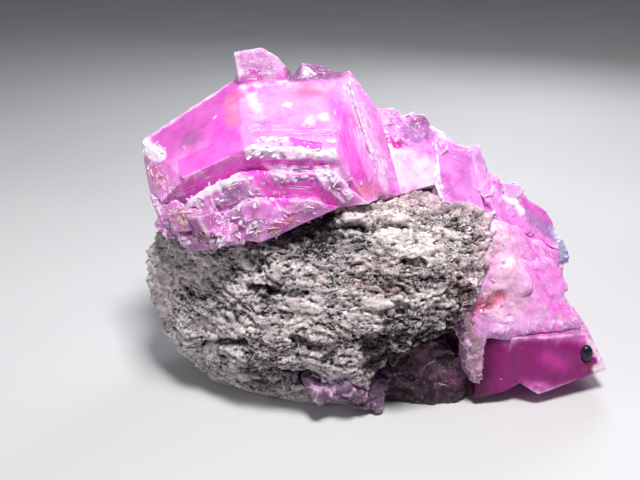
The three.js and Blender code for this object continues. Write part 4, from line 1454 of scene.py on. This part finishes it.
@dataclass
class MainCrystal(Crystal):
    """The big stepped crystal."""

    node: str = "main_crystal"
    slot: str = "pink_calcite"
    cell: float = 0.19
    seed: int = 7
    tint: Tint = Tint.LIGHT
    turns: Point = (10.0, 20.0, 15.0)
    steps: Sizes = ((2.4, 0.5), (0.9, 0.18))
    broken: float = 0.35
    lined: float = 0.2
    lines: tuple[Point, ...] = ((1.0, 0.0, -0.08), (0.85, -0.31, 0.43), (0.35, -0.55, -0.76))
    slivers: int = 460
    sliver: float = 0.55
    tumbled: float = 28.0
    soften: tuple[Band, ...] = (
        Band((-3.2, 0.9, 35.3), (1.3, -6.1, 23.9), 1.3, soft=0.6),
        Band((-15.2, -7.8, 29.6), (-11.0, -9.8, 25.0), 0.9, soft=0.5),
        Band((-15.6, 1.6, 34.8), (-10.2, 1.5, 35.2), 0.5, soft=0.4),
    )
    bands: tuple[Band, ...] = (
        # broken terraces, under the smoother patches that follow
        Band((-21.0, -7.0, 24.6), (-14.0, -9.0, 26.6), 1.8, rough=0.9, soft=0.8, ragged=0.6),
        Band((-14.0, -9.0, 26.6), (-4.6, -8.8, 26.2), 2.0, rough=0.9, soft=0.8, ragged=0.6),
        # left sector: smooth face, hot band along its lower edge, dark riser, white broken lip
        Band((-23.0, 1.5, 29.4), (-16.2, 0.0, 34.2), 4.2, Tint.ROSE, 0.04, 0.0, lines=(0, 0.06, 0.04),
             soft=1.0),
        Band((-17.6, -2.4, 31.6), (-16.4, -4.2, 30.8), 1.9, Tint.HOT, 0.03, 0.0, lines=(0, 0.05, 0),
             soft=1.0),
        Band((-16.4, 0.2, 34.0), (-15.9, -3.0, 32.4), 1.2, Tint.CORAL, soft=0.9),
        Band((-21.6, -0.9, 29.4), (-20.8, -1.6, 29.5), 1.0, Tint.MAUVE, soft=0.6),
        Band((-22.6, -1.4, 29.2), (-21.6, -2.2, 28.6), 0.10, Tint.MILK, 0.5, lift=0.04, soft=0.08,
             ragged=0.3),
        Band((-21.6, -2.2, 28.6), (-19.8, -2.6, 29.4), 0.10, Tint.MILK, 0.5, lift=0.04, soft=0.08,
             ragged=0.3),
        Band((-19.4, 0.6, 31.6), (-18.2, -0.6, 31.6), 0.10, Tint.FROST, 0.5, soft=0.08, ragged=0.3),
        Band((-27.2, 3.4, 28.4), (-16.2, 3.2, 35.6), 0.3, Tint.FROST, 0.4, lines=(0, 0.7, 0.4), soft=0.25),
        Band((-22.0, -6.0, 26.4), (-14.6, -8.1, 30.3), 1.2, Tint.BRIGHT, 0, 0, lines=(0, 0.05, 0),
             side=(-0.5, 2.8, 1.1), lift=0.08, soft=0.15, ragged=0.1, last=True),
        Band((-21.6, -5.8, 25.9), (-14.9, -7.8, 29.8), 1.4, Tint.BRIGHT, 0.04, 0.1, lines=(0, 0.35, 0.1),
             side=(0.1, 0.6, -2.2), soft=0.1, ragged=0.15, last=True),
        Band((-19.6, -6.4, 25.4), (-16.0, -7.6, 27.4), 0.9, Tint.LIGHT, 0.2, 0.3, lines=(0.3, 0.9, 0.9),
             ragged=0.4),
        Band((-23.6, -5.0, 24.2), (-20.6, -5.6, 25.2), 1.0, Tint.CERISE, 0.1, 0.2, lines=(0.3, 0.9, 0.9),
             ragged=0.5),
        Band((-20.7, -7.2, 24.0), (-15.3, -8.9, 27.6), 0.55, Tint.WHITE, 1.0, 0.4, lift=0.15, soft=0.15,
             ragged=0.5, last=True),
        Band((-27.5, 2.9, 27.6), (-25.3, -0.6, 27.3), 1.0, Tint.WHITE, 0.6, 0.42, ragged=0.6),
        Band((-26.6, 0.0, 25.4), (-24.2, -3.6, 25.0), 0.9, Tint.CORAL, 0.1, 0.4, lines=(0, 0.5, 0.7),
             ragged=0.5),
        # centre sector: frosted, with a recess under a thin ledge
        Band((-12.8, -1.6, 33.6), (-7.0, -2.0, 33.4), 2.9, Tint.PETAL, 0.2, 0.05, lines=(0.12, 0.08, 0.05),
             soft=1.2, ragged=0.8),
        Band((-14.3, 0.0, 34.4), (-13.2, -3.4, 32.4), 0.5, Tint.MILK, 0.25, 0.05, soft=0.8, ragged=0.9),
        Band((-9.4, 0.8, 35.0), (-6.0, 0.0, 34.6), 0.6, Tint.MILK, 0.2, 0.05, soft=0.8, ragged=0.9),
        Band((-14.2, -5.0, 31.6), (-6.2, -5.0, 31.4), 1.0, Tint.LIGHT, 0.1, 0.02, lines=(0.45, 0, 0),
             soft=0.5, ragged=0.5),
        Band((-11.8, -0.4, 34.3), (-10.4, -0.2, 34.4), 0.9, Tint.LILAC, 0.1, soft=0.8, ragged=0.5),
        Band((-9.4, -0.2, 34.6), (-8.2, -0.4, 34.5), 0.7, Tint.CORAL, 0.05, soft=0.8, ragged=0.5),
        Band((-6.6, 0.6, 35.1), (-4.7, -3.0, 33.0), 0.3, Tint.MILK, 0.45, lines=(0, 0, 0.3), soft=0.3,
             ragged=0.7),
        Band((-6.0, -3.6, 32.8), (-8.2, -4.6, 32.2), 0.35, Tint.MILK, 0.35, soft=0.4, ragged=0.6),
        Band((-13.4, -4.4, 32.0), (-9.4, -4.6, 32.2), 0.12, Tint.ORCHID, 0.0, soft=0.12, ragged=0.2),
        Band((-10.4, -5.2, 31.8), (-7.0, -5.3, 31.7), 0.12, Tint.ORCHID, 0.0, soft=0.12, ragged=0.2),
        Band((-10.3, -2.2, 33.5), (-10.1, -2.2, 33.5), 0.36, Tint.WHITE, 0.8, lift=0.12, soft=0.15),
        Band((-14.1, -5.9, 31.3), (-6.4, -6.5, 30.8), 0.10, Tint.WHITE, 0.6, 0, lift=0.2, soft=0.08,
             ragged=0.06),
        Band((-14.0, -6.2, 31.2), (-6.4, -6.75, 30.7), 0.08, Tint.MAUVE, 0, 0, soft=0.06, ragged=0.05,
             last=True),
        Band((-13.8, -6.5, 31.1), (-9.7, -6.7, 30.9), 1.2, Tint.FROST, 0.2, 0.4, side=(0.8, -1.5, -1.3),
             lift=-0.12, soft=0.12, ragged=0.3),
        Band((-9.6, -6.5, 31.1), (-6.3, -6.9, 30.7), 1.0, Tint.HOT, 0, 0, lines=(0, 0, 0),
             side=(0.0, -0.8, -0.6), lift=-0.2, soft=0.08, ragged=0.06, last=True),
        Band((-13.8, -7.9, 30.0), (-5.2, -7.9, 29.8), 0.6, Tint.MILK, 0.65, 0.8, lines=(0.5, 0.3, 0.3),
             lift=0.1, ragged=0.35),
        Band((-12.4, -7.9, 29.3), (-6.2, -7.9, 29.1), 1.0, Tint.HOT, 0, 0.1, lines=(0.4, 0, 0.1),
             side=(0.2, 0.1, -0.6), soft=0.15, ragged=0.35, last=True),
        Band((-13.4, -7.9, 28.3), (-5.8, -8.2, 28.2), 0.5, Tint.MILK, 0.7, 0.7, lines=(0.5, 0.3, 0.3),
             soft=0.3, ragged=0.6),
        Band((-13.2, -8.7, 27.8), (-5.8, -8.9, 27.9), 0.5, Tint.FROST, 0.5, 0.7, lines=(0.4, 0.4, 0.4),
             soft=0.4, ragged=0.9),
        # the seam between the left and centre sectors runs on as a smooth hot band
        Band((-15.3, -8.2, 29.3), (-11.5, -9.6, 24.6), 1.7, Tint.HOT, 0.02, 0, lines=(0, 0, 0.3),
             side=(2.2, 0.0, 0.1), soft=0.2, ragged=0.25, last=True),
        Band((-14.7, -7.9, 29.9), (-11.4, -9.2, 26.6), 0.12, Tint.WHITE, 0.8, lift=0.12, soft=0.08,
             ragged=0.12),
        Band((-13.2, -8.3, 29.0), (-12.2, -9.0, 27.4), 0.4, Tint.MILK, 0.4, 0.6, lift=0.1, soft=0.2,
             ragged=0.35),
        Band((-15.6, -8.9, 27.2), (-12.4, -9.9, 24.6), 0.10, Tint.WHITE, 0.7, lift=0.1, soft=0.08,
             ragged=0.12),
        Band((-18.9, -8.0, 24.7), (-14.6, -9.0, 26.9), 1.3, Tint.PETAL, 0.2, 0.8, lines=(0.5, 0.6, 0.6),
             side=(0.4, -0.4, -2.2), soft=0.5, ragged=0.8),
        Band((-17.4, -9.4, 23.4), (-11.6, -10.2, 23.6), 1.4, Tint.SHELL, 0.1, 0.8, lines=(0.3, 0.75, 0.75),
             side=(0.8, -0.3, -2.2), soft=0.5, ragged=0.7),
        Band((-12.0, -10.6, 22.8), (-8.0, -10.2, 23.8), 0.9, Tint.LIGHT, 0.0, 0.5, lines=(0, 0.3, 0.3),
             soft=0.5),
        # lower right of the centre: hot risers between white broken bars
        Band((-10.6, -9.0, 27.1), (-6.9, -9.0, 27.1), 1.0, Tint.HOT, 0.02, 0, lines=(0.3, 0, 0),
             side=(0.4, 0.0, -1.7), lift=-0.1, soft=0.12, ragged=0.2, last=True),
        Band((-6.6, -9.0, 26.9), (-4.3, -8.5, 24.7), 1.0, Tint.CERISE, 0.02, 0, lines=(0, 0, 0.2),
             side=(-0.9, -0.1, -0.8), lift=-0.1, soft=0.12, ragged=0.15, last=True),
        Band((-6.7, -9.1, 27.7), (-4.0, -8.6, 24.8), 0.15, Tint.WHITE, 0.7, 0.1, lift=0.25, soft=0.1,
             ragged=0.1, last=True),
        Band((-4.8, -8.0, 27.9), (-3.4, -8.4, 25.4), 0.25, Tint.WHITE, 0.5, 0.4, lift=0.15, soft=0.12,
             ragged=0.25),
        Band((-11.0, -9.6, 25.2), (-5.6, -9.2, 24.9), 0.7, Tint.LIGHT, 0.2, 0.6, lines=(0.5, 0.4, 0.5),
             ragged=0.4),
        # right sector: smooth hot inner band, white fibrous outer part, a short slit
        Band((-5.2, -5.4, 31.5), (-2.9, -8.4, 25.1), 1.6, Tint.BRIGHT, 0, 0, lines=(0, 0, 0.12),
             side=(1.8, 1.4, 0.2), soft=0.25, ragged=0.15),
        Band((-8.0, 0.6, 35.0), (-4.6, -2.2, 33.8), 0.8, Tint.CORAL, 0.1, 0, soft=0.8),
        Band((-4.8, -2.0, 33.6), (-3.4, -5.0, 31.0), 0.9, Tint.BRIGHT, 0.05, 0, lines=(0, 0, 0.2),
             soft=0.7),
        Band((-3.4, 0.4, 35.0), (0.6, -5.0, 26.4), 1.2, Tint.SHELL, 0.05, 0.2, lines=(0, 0, 0.7), soft=0.6,
             ragged=0.3),
        Band((-0.4, -6.6, 25.2), (-2.4, -7.4, 25.6), 0.7, Tint.CORAL, 0.0, 0.2, stain=0.1, soft=0.6,
             ragged=0.5),
        Band((-1.7, -2.4, 31.2), (1.2, -6.1, 24.0), 0.4, Tint.FROST, 0.2, lines=(0, 0, 0.9), lift=0.15,
             soft=0.35),
        # painted shade in the slit
        Band((-2.9, -0.8, 33.5), (-2.1, -1.8, 32.2), 0.10, Tint.WINE, 0, 0, lift=-0.25, soft=0.08,
             ragged=0.05, last=True),
        # clear knob and low peak on the top
        Band((-15.2, 3.0, 37.8), (-12.4, 3.0, 37.6), 2.2, Tint.SHELL, 0.15, 0.2, lines=(0.5, 0.4, 0.4),
             soft=0.6, ragged=0.5),
        Band((-16.0, 2.2, 38.4), (-15.8, 1.8, 36.4), 0.35, Tint.WHITE, 0.6, ragged=0.2),
        Band((-14.8, 1.8, 37.0), (-13.2, 1.8, 37.0), 1.0, Tint.ROSE, 0, 0, side=(0.2, -0.6, -1.2),
             soft=0.15),
        Band((-15.8, 1.4, 34.9), (-10.4, 1.2, 35.2), 0.22, Tint.MILK, 0.5, 0.2, soft=0.2, ragged=0.3),
        Band((-9.4, 2.6, 36.4), (-4.8, 2.8, 36.0), 1.4, Tint.PLUM, 0.0, 0.1, lines=(0, 0.25, 0), soft=0.5,
             ragged=0.3, last=True),
        # reddish contact with the rock
        Band((-14.6, -11.0, 21.4), (-11.4, -10.3, 22.2), 0.35, Tint.CORAL, stain=0.55, dark=0.1,
             ragged=0.35),
        Band((-11.4, -10.3, 22.2), (-9.0, -10.0, 23.5), 0.35, Tint.CORAL, stain=0.35, ragged=0.35),
        Band((-9.0, -9.8, 23.6), (-0.1, -6.3, 24.0), 0.22, Tint.CORAL, stain=0.25, ragged=0.25),
    )


@dataclass
class CrestCrystals(Crystal):
    """The crust along the crest and over the back."""

    node: str = "crest_crystals"
    slot: str = "crust_calcite"
    cell: float = 0.19
    seed: int = 11
    tint: Tint = Tint.LIGHT
    turns: Point = (25.0, 5.0, 40.0)
    bent: float = 0.3
    steps: Sizes = ((3.4, 0.7), (1.4, 0.4))
    broken: float = 0.8
    cloudy: float = 0.05
    lined: float = 0.15
    slivers: int = 120
    sliver: float = 0.7
    bands: tuple[Band, ...] = (
        Band((1.6, -2.6, 27.4), (5.4, -2.6, 25.2), 2.6, Tint.MILK, 0.15, 0.05, lines=(0.1, 0.1, 0.3),
             soft=1.0, ragged=0.6),
        Band((1.4, 2.4, 31.0), (4.4, 2.4, 29.6), 1.6, Tint.ORCHID, 0.05, 0.9, lines=(0.3, 0.5, 0.2),
             ragged=0.5),
        Band((4.4, 1.6, 29.4), (6.2, 3.2, 29.5), 1.5, Tint.VIOLET, 0.0, 0.1, lines=(0.1, 0.1, 0.2),
             ragged=0.2, last=True),
        Band((4.4, 3.2, 30.4), (5.8, 4.2, 30.4), 0.7, Tint.PLUM, 0.0, 0.3, ragged=0.3, last=True),
        Band((1.4, -0.2, 28.9), (2.6, -0.6, 28.6), 0.45, Tint.MAGENTA, 0.0, 0.1, ragged=0.3, last=True),
        Band((7.6, 1.8, 28.0), (11.4, 1.6, 26.4), 2.0, Tint.ORCHID, 0.05, 0.2, lines=(0.05, 0.15, 0.05),
             side=(-0.6, -5.4, -4.4), soft=0.3, ragged=0.3),
        Band((8.2, -0.4, 26.4), (10.0, -3.0, 23.6), 0.8, Tint.LIGHT, 0.05, 0.2, lines=(0.05, 0.1, 0.05),
             soft=0.5),
        Band((12.2, 2.6, 26.0), (12.8, 2.0, 24.4), 0.8, Tint.LILAC, 0.1, 0.3),
        Band((16.2, 2.4, 21.8), (17.8, 2.4, 21.4), 0.9, Tint.LILAC, 0.1, 0.3, soft=0.4),
        Band((16.0, 1.4, 21.2), (18.0, 0.6, 19.8), 0.5, Tint.WHITE, 0.8, lift=0.2, ragged=0.2),
        Band((19.4, 2.4, 19.8), (22.0, 3.0, 18.0), 1.2, Tint.ROSE, 0.0, 0.2, soft=0.5, last=True),
        Band((19.6, 1.0, 18.6), (22.2, 1.2, 16.8), 1.3, Tint.VIOLET, 0.0, 0.3, soft=0.6, ragged=0.5,
             last=True),
        Band((22.9, 1.6, 16.4), (23.4, 0.2, 14.4), 1.1, Tint.ICE, 0.1, 0.8, lines=(0.4, 0.4, 0.4),
             ragged=0.4, last=True),
        Band((5.9, -1.2, 25.2), (7.2, -2.4, 23.2), 0.5, Tint.MILK, 0.2, lift=0.35, soft=0.4),
    )


@dataclass
class FlankCalcite(Crystal):
    """Pale massive calcite on the right flank."""

    node: str = "flank_calcite"
    slot: str = "pale_calcite"
    cell: float = 0.17
    seed: int = 13
    tint: Tint = Tint.LIGHT
    turns: Point = (-14.0, 36.0, 50.0)
    melt: int = 30
    bent: float = 0.9
    steps: Sizes = ((2.6, 0.3), (1.0, 0.22))
    broken: float = 0.5
    cloudy: float = 0.28
    lined: float = 0.35
    slivers: int = 160
    sliver: float = 0.4
    swell: float = 0.3
    mosaic: float = 0.3
    glow_mm: float = 0.6
    lumps: Sizes = ((4.5, 0.3), (1.6, 0.1))
    bands: tuple[Band, ...] = (
        Band((14.2, -5.4, 19.0), (14.8, -8.6, 12.0), 2.7, Tint.BLUSH, 0.4, 0.35, soft=1.4, ragged=0.9),
        Band((13.0, -6.0, 18.6), (12.4, -9.4, 12.6), 0.8, Tint.BLUSH, 0.4, 1.0, stain=0.3, dark=0.05,
             soft=0.9, ragged=1.3),
        Band((12.4, -10.2, 10.2), (22.0, -7.4, 10.6), 0.8, Tint.FROST, 0.35, 0.6, soft=0.7, ragged=1.0),
        Band((12.2, -10.8, 8.8), (24.4, -7.0, 8.4), 0.8, Tint.ORCHID, 0.0, 0.5, dark=0.0,
             lines=(0.3, 0.3, 0.3), soft=0.5, ragged=0.8),
        Band((13.2, -10.3, 9.6), (23.6, -6.9, 9.2), 0.15, Tint.MILK, 0.5, 0.9, soft=0.3, ragged=1.0),
        Band((19.4, -4.6, 15.0), (20.2, -5.6, 12.6), 1.5, Tint.LIGHT, 0.05, 0.1, soft=0.9),
        Band((20.6, -7.0, 10.8), (22.6, -6.4, 10.0), 0.7, Tint.BRIGHT, 0.05, 0.1, soft=0.6),
        Band((10.2, -10.4, 11.8), (13.9, -8.9, 13.2), 0.5, Tint.CORAL, 0.0, 0, stain=0.6, lift=-0.3,
             soft=0.6, ragged=0.4, last=True),
        Band((11.0, -10.4, 11.6), (13.0, -9.3, 12.4), 0.15, Tint.WINE, 0.0, 0, lift=-0.4, soft=0.2,
             last=True),
        Band((9.8, -11.0, 12.0), (11.3, -11.3, 3.0), 1.5, Tint.DUSKY, 0.1, 1.0, lines=(0.4, 0.4, 0.4),
             dark=0.25, soft=0.5, ragged=0.8),
        Band((10.4, -11.2, 8.6), (11.4, -11.3, 5.0), 0.3, Tint.LILAC, 0.4, 1.0, dark=0.0, soft=0.3,
             ragged=0.9),
    )


@dataclass
class CornerCrystal(Crystal):
    """The deep magenta cleaved crystal at the lower right."""

    node: str = "corner_crystal"
    slot: str = "deep_pink_calcite"
    cell: float = 0.17
    seed: int = 17
    tint: Tint = Tint.MAGENTA
    turns: Point = (5.0, 50.0, 10.0)
    swell: float = 0.24
    broken: float = 0.2
    lined: float = 0.1
    slivers: int = 60
    shine: float = 0.25
    bands: tuple[Band, ...] = (
        Band((15.0, -8.0, 8.4), (24.0, -6.0, 8.2), 1.8, Tint.MAUVE, 0.0, 0.3, lines=(0.2, 0.2, 0.2),
             soft=0.5, ragged=0.5),
        # painted shade: wine to near black where the face lies towards the hollow
        Band((12.6, -9.8, 6.6), (14.8, -10.8, 2.6), 2.2, Tint.WINE, 0.0, 0.0, lines=(0, 0, 0), soft=0.8,
             last=True),
        Band((12.0, -9.8, 6.6), (11.9, -11.0, 1.6), 1.7, Tint.DEEP, 0, 0, lines=(0, 0, 0), soft=1.2,
             last=True),
        # painted shade over the lower front face
        Band((17.4, -10.6, 6.0), (24.4, -9.4, 4.2), 2.4, Tint.WINE, 0.0, 0.0, lines=(0, 0.05, 0), soft=0.8,
             last=True),
        # painted highlight: a brighter magenta spot where light glows through the shaded face
        Band((19.6, -10.2, 6.0), (22.0, -10.0, 4.6), 0.7, Tint.MAGENTA, 0.0, 0.0, soft=1.2, last=True),
        Band((15.2, -9.6, 8.1), (23.6, -7.8, 7.8), 0.7, Tint.MAUVE, 0.0, 0.2, soft=0.4, ragged=0.5,
             last=True),
        Band((25.0, -7.8, 7.2), (27.2, -8.2, 3.6), 0.4, Tint.MILK, 0.5, 0.3, ragged=0.3, last=True),
        Band((26.4, -8.6, 3.4), (27.6, -8.2, 3.1), 0.5, Tint.WHITE, 0.8, 0.3, ragged=0.2, last=True),
        Band((24.8, -9.0, 4.0), (25.8, -8.8, 3.8), 0.2, stain=0.6, dark=0.3, soft=0.2, ragged=0.5,
             last=True),
    )


@dataclass
class UndersideCalcite(Crystal):
    """Calcite under the overhang, painted dark as the overhang's shade over its own brown-purple colour."""

    node: str = "underside_calcite"
    slot: str = "shaded_calcite"
    cell: float = 0.18
    seed: int = 19
    tint: Tint = Tint.BROWN
    turns: Point = (8.0, 16.0, 30.0)
    melt: int = 10
    swell: float = 0.3
    bent: float = 1.1
    steps: Sizes = ((2.6, 0.45), (0.9, 0.2))
    broken: float = 0.9
    lined: float = 0.15
    slivers: int = 40
    mosaic: float = 0.12
    deep: Tint = Tint.BROWN
    lumps: Sizes = ((4.0, 0.35), (1.4, 0.14))
    bands: tuple[Band, ...] = (
        # painted shade of the overhang: dark browns and dark values over the whole piece
        Band((2.0, -10.0, 4.6), (11.0, -9.4, 4.6), 4.0, Tint.BROWN, 0.05, 0.7, dark=0.55,
             lines=(0.2, 0.2, 0.2), soft=1.0),
        Band((4.0, -11.0, 3.4), (10.4, -10.4, 2.6), 0.8, Tint.WINE, 0.05, 0.5, dark=0.55, soft=0.9,
             ragged=0.9),
        Band((5.0, -8.6, 6.0), (7.0, -9.4, 3.8), 0.8, Tint.DUSKY, 0.2, 0.8, dark=0.4, soft=0.7, ragged=0.9),
        Band((-8.2, -13.0, 5.0), (-0.4, -12.4, 3.0), 3.0, Tint.VIOLET, 0.05, 1.0, dark=0.75,
             lines=(0.3, 0.3, 0.3), soft=0.6, ragged=0.9),
        Band((-6.8, -13.8, 4.3), (-2.0, -13.2, 3.7), 0.7, Tint.LILAC, 0.6, 1.0, dark=0.2, soft=0.5,
             ragged=1.3),
        # painted shade, darkest along the bottom
        Band((1.0, -11.4, 0.6), (10.6, -10.6, 0.8), 1.1, Tint.BROWN, 0.0, 0.5, dark=0.75, lines=(0, 0, 0),
             soft=0.6, ragged=0.6, last=True),
    )


@dataclass
class LeftCrystals(Crystal):
    """Small clear crystals under the big one's left end."""

    node: str = "left_crystals"
    slot: str = "clear_calcite"
    cell: float = 0.12
    seed: int = 23
    tint: Tint = Tint.MAUVE
    turns: Point = (18.0, 24.0, 10.0)
    melt: int = 3
    sliver: float = 0.7
    tumbled: float = 28.0
    swell: float = 0.24
    steps: Sizes = ((1.3, 0.5), (0.6, 0.25))
    broken: float = 1.3
    cloudy: float = 0.0
    lined: float = 0.35
    slivers: int = 240
    mosaic: float = 0.4
    deep: Tint = Tint.MAUVE
    bands: tuple[Band, ...] = (
        Band((-22.4, -8.8, 23.2), (-21.2, -9.2, 22.6), 0.5, Tint.DUSKY, 0.0, 0.9, stain=0.7, dark=0.2,
             soft=0.5, ragged=0.8, last=True),
        Band((-19.6, -10.6, 21.2), (-18.4, -11.0, 21.0), 0.35, Tint.DUSKY, 0.0, 0.9, stain=0.6, dark=0.3,
             soft=0.4, ragged=0.6, last=True),
    )


@dataclass
class Bead:
    """The shiny black bead."""

    node: str = "dark_bead"
    slot: str = "black_bead"
    seed: int = 5

    def build(self) -> bpy.types.Object:
        """Makes the bead, slightly uneven.

        Returns:
            The finished object.
        """
        low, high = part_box(self.node)
        shape = bmesh.new()
        bmesh.ops.create_icosphere(shape, subdivisions=5, radius=1)
        bmesh.ops.scale(shape, vec=(high - low) / 2, verts=shape.verts)
        bmesh.ops.translate(shape, vec=(high + low) / 2, verts=shape.verts)
        mesh = mesh_of(shape, self.node + "_skin")
        skin = Surface(mesh)
        skin.push(0.05 * Noise(self.seed).rough(skin.points, 0.9, 2) - 0.02)
        mesh.shade_smooth()
        made = placed(mesh.name, mesh)
        mesh.materials.append(BeadFinish(self.slot).make())
        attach(made, BODY)
        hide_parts(self.node)
        return made


@dataclass(frozen=True)
class Lamp:
    """A square soft lamp.

    Attributes:
        name: Its name.
        place: Where it hangs, in millimetres.
        side: Its side in millimetres.
        power: Its power in watts.
        colour: Its colour.
    """

    name: str
    place: Point
    side: float
    power: float
    colour: Colour

    def hang(self, target: Point) -> None:
        """Puts the lamp into the scene.

        Args:
            target: The place that it is aimed at, in millimetres.
        """
        light = bpy.data.lights.new(self.name, "AREA")
        light.size = self.side * MM
        light.energy = self.power
        light.color = self.colour
        made = placed(self.name, light)
        made.location = Vector(self.place) * MM
        aim = Vector(target) * MM - made.location
        made.rotation_euler = aim.to_track_quat("-Z", "Y").to_euler()


@dataclass
class Studio:
    """Floor, lamps, sky and camera.

    Attributes:
        target: What the camera looks at, in millimetres.
        elevation: How far above level it stands, in degrees.
        distance: How far from the target, in millimetres.
        lens: Its focal length in millimetres.
        sensor: Its film's width in millimetres.
        lit: What the lamps are aimed at, in millimetres.
        lamps: The lamps.
        sky_colour: The colour of the surroundings.
        sky_strength: How bright they are.
        floor_side: The floor's side in metres.
        floor_tones: The floor's two colours.
    """

    target: Point = (-6.5, 0.0, 16.3)
    elevation: float = 24.0
    distance: float = 92.0
    lens: float = 42.0
    sensor: float = 36.0
    lit: Point = (-2.0, 0.0, 14.0)
    lamps: tuple[Lamp, ...] = (
        Lamp("key", (15, -52, 200), 50, 0.56, (1.0, 0.98, 0.97)),
        Lamp("back", (60, 150, 120), 80, 0.16, (0.90, 0.94, 1.0)),
        Lamp("side", (-180, -60, 70), 70, 0.08, (0.95, 0.97, 1.0)),
    )
    sky_colour: Colour = (0.80, 0.83, 0.90)
    sky_strength: float = 0.17
    floor_side: float = 4.0
    floor_tones: tuple[Colour, Colour] = ((0.52, 0.52, 0.53), (0.55, 0.55, 0.56))

    def floor(self) -> None:
        """A wide pale floor."""
        shape = bmesh.new()
        bmesh.ops.create_grid(shape, x_segments=2, y_segments=2, size=self.floor_side / 2)
        made = placed("floor", mesh_of(shape, "floor"))
        sheet = Sheet("pale_floor")
        tone = sheet.mix(sheet.grain(60.0, 2.0).step(0.3, 0.7), *self.floor_tones)
        shader = sheet.node("ShaderNodeBsdfPrincipled", {}, {"Base Color": tone, "Roughness": 0.7})
        made.data.materials.append(sheet.finish(shader))

    def sky(self) -> None:
        """Even pale surroundings."""
        world = bpy.data.worlds.new("studio")
        world.use_nodes = True
        background = world.node_tree.nodes["Background"]
        background.inputs["Color"].default_value = (*self.sky_colour, 1)
        background.inputs["Strength"].default_value = self.sky_strength
        bpy.context.scene.world = world

    def camera(self) -> None:
        """The camera at the specimen's front, looking down on it."""
        data = bpy.data.cameras.new("camera")
        data.lens = self.lens
        data.sensor_width = self.sensor
        data.clip_start = 0.002
        data.clip_end = 10
        made = placed("camera", data)
        rise = math.radians(self.elevation)
        back = Vector((0, -math.cos(rise), math.sin(rise)))
        made.location = (Vector(self.target) + back * self.distance) * MM
        made.rotation_euler = (-back).to_track_quat("-Z", "Y").to_euler()
        bpy.context.scene.camera = made

    def build(self) -> None:
        """Sets the studio up."""
        self.floor()
        self.sky()
        for lamp in self.lamps:
            lamp.hang(self.lit)
        self.camera()
        bpy.context.scene.view_settings.view_transform = "Standard"


def main() -> None:
    """Builds the specimen and its studio in order."""
    logging.basicConfig(level=logging.INFO)
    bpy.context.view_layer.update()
    parts = [
        RockMatrix(),
        MainCrystal(),
        CrestCrystals(),
        FlankCalcite(),
        CornerCrystal(),
        UndersideCalcite(),
        LeftCrystals(),
        Bead(),
    ]
    for part in parts:
        made = part.build()
        made.data.calc_loop_triangles()
        LOG.info("built %s with %d triangles", made.name, len(made.data.loop_triangles))
    Studio().build()


if __name__ == "__main__":
    main()
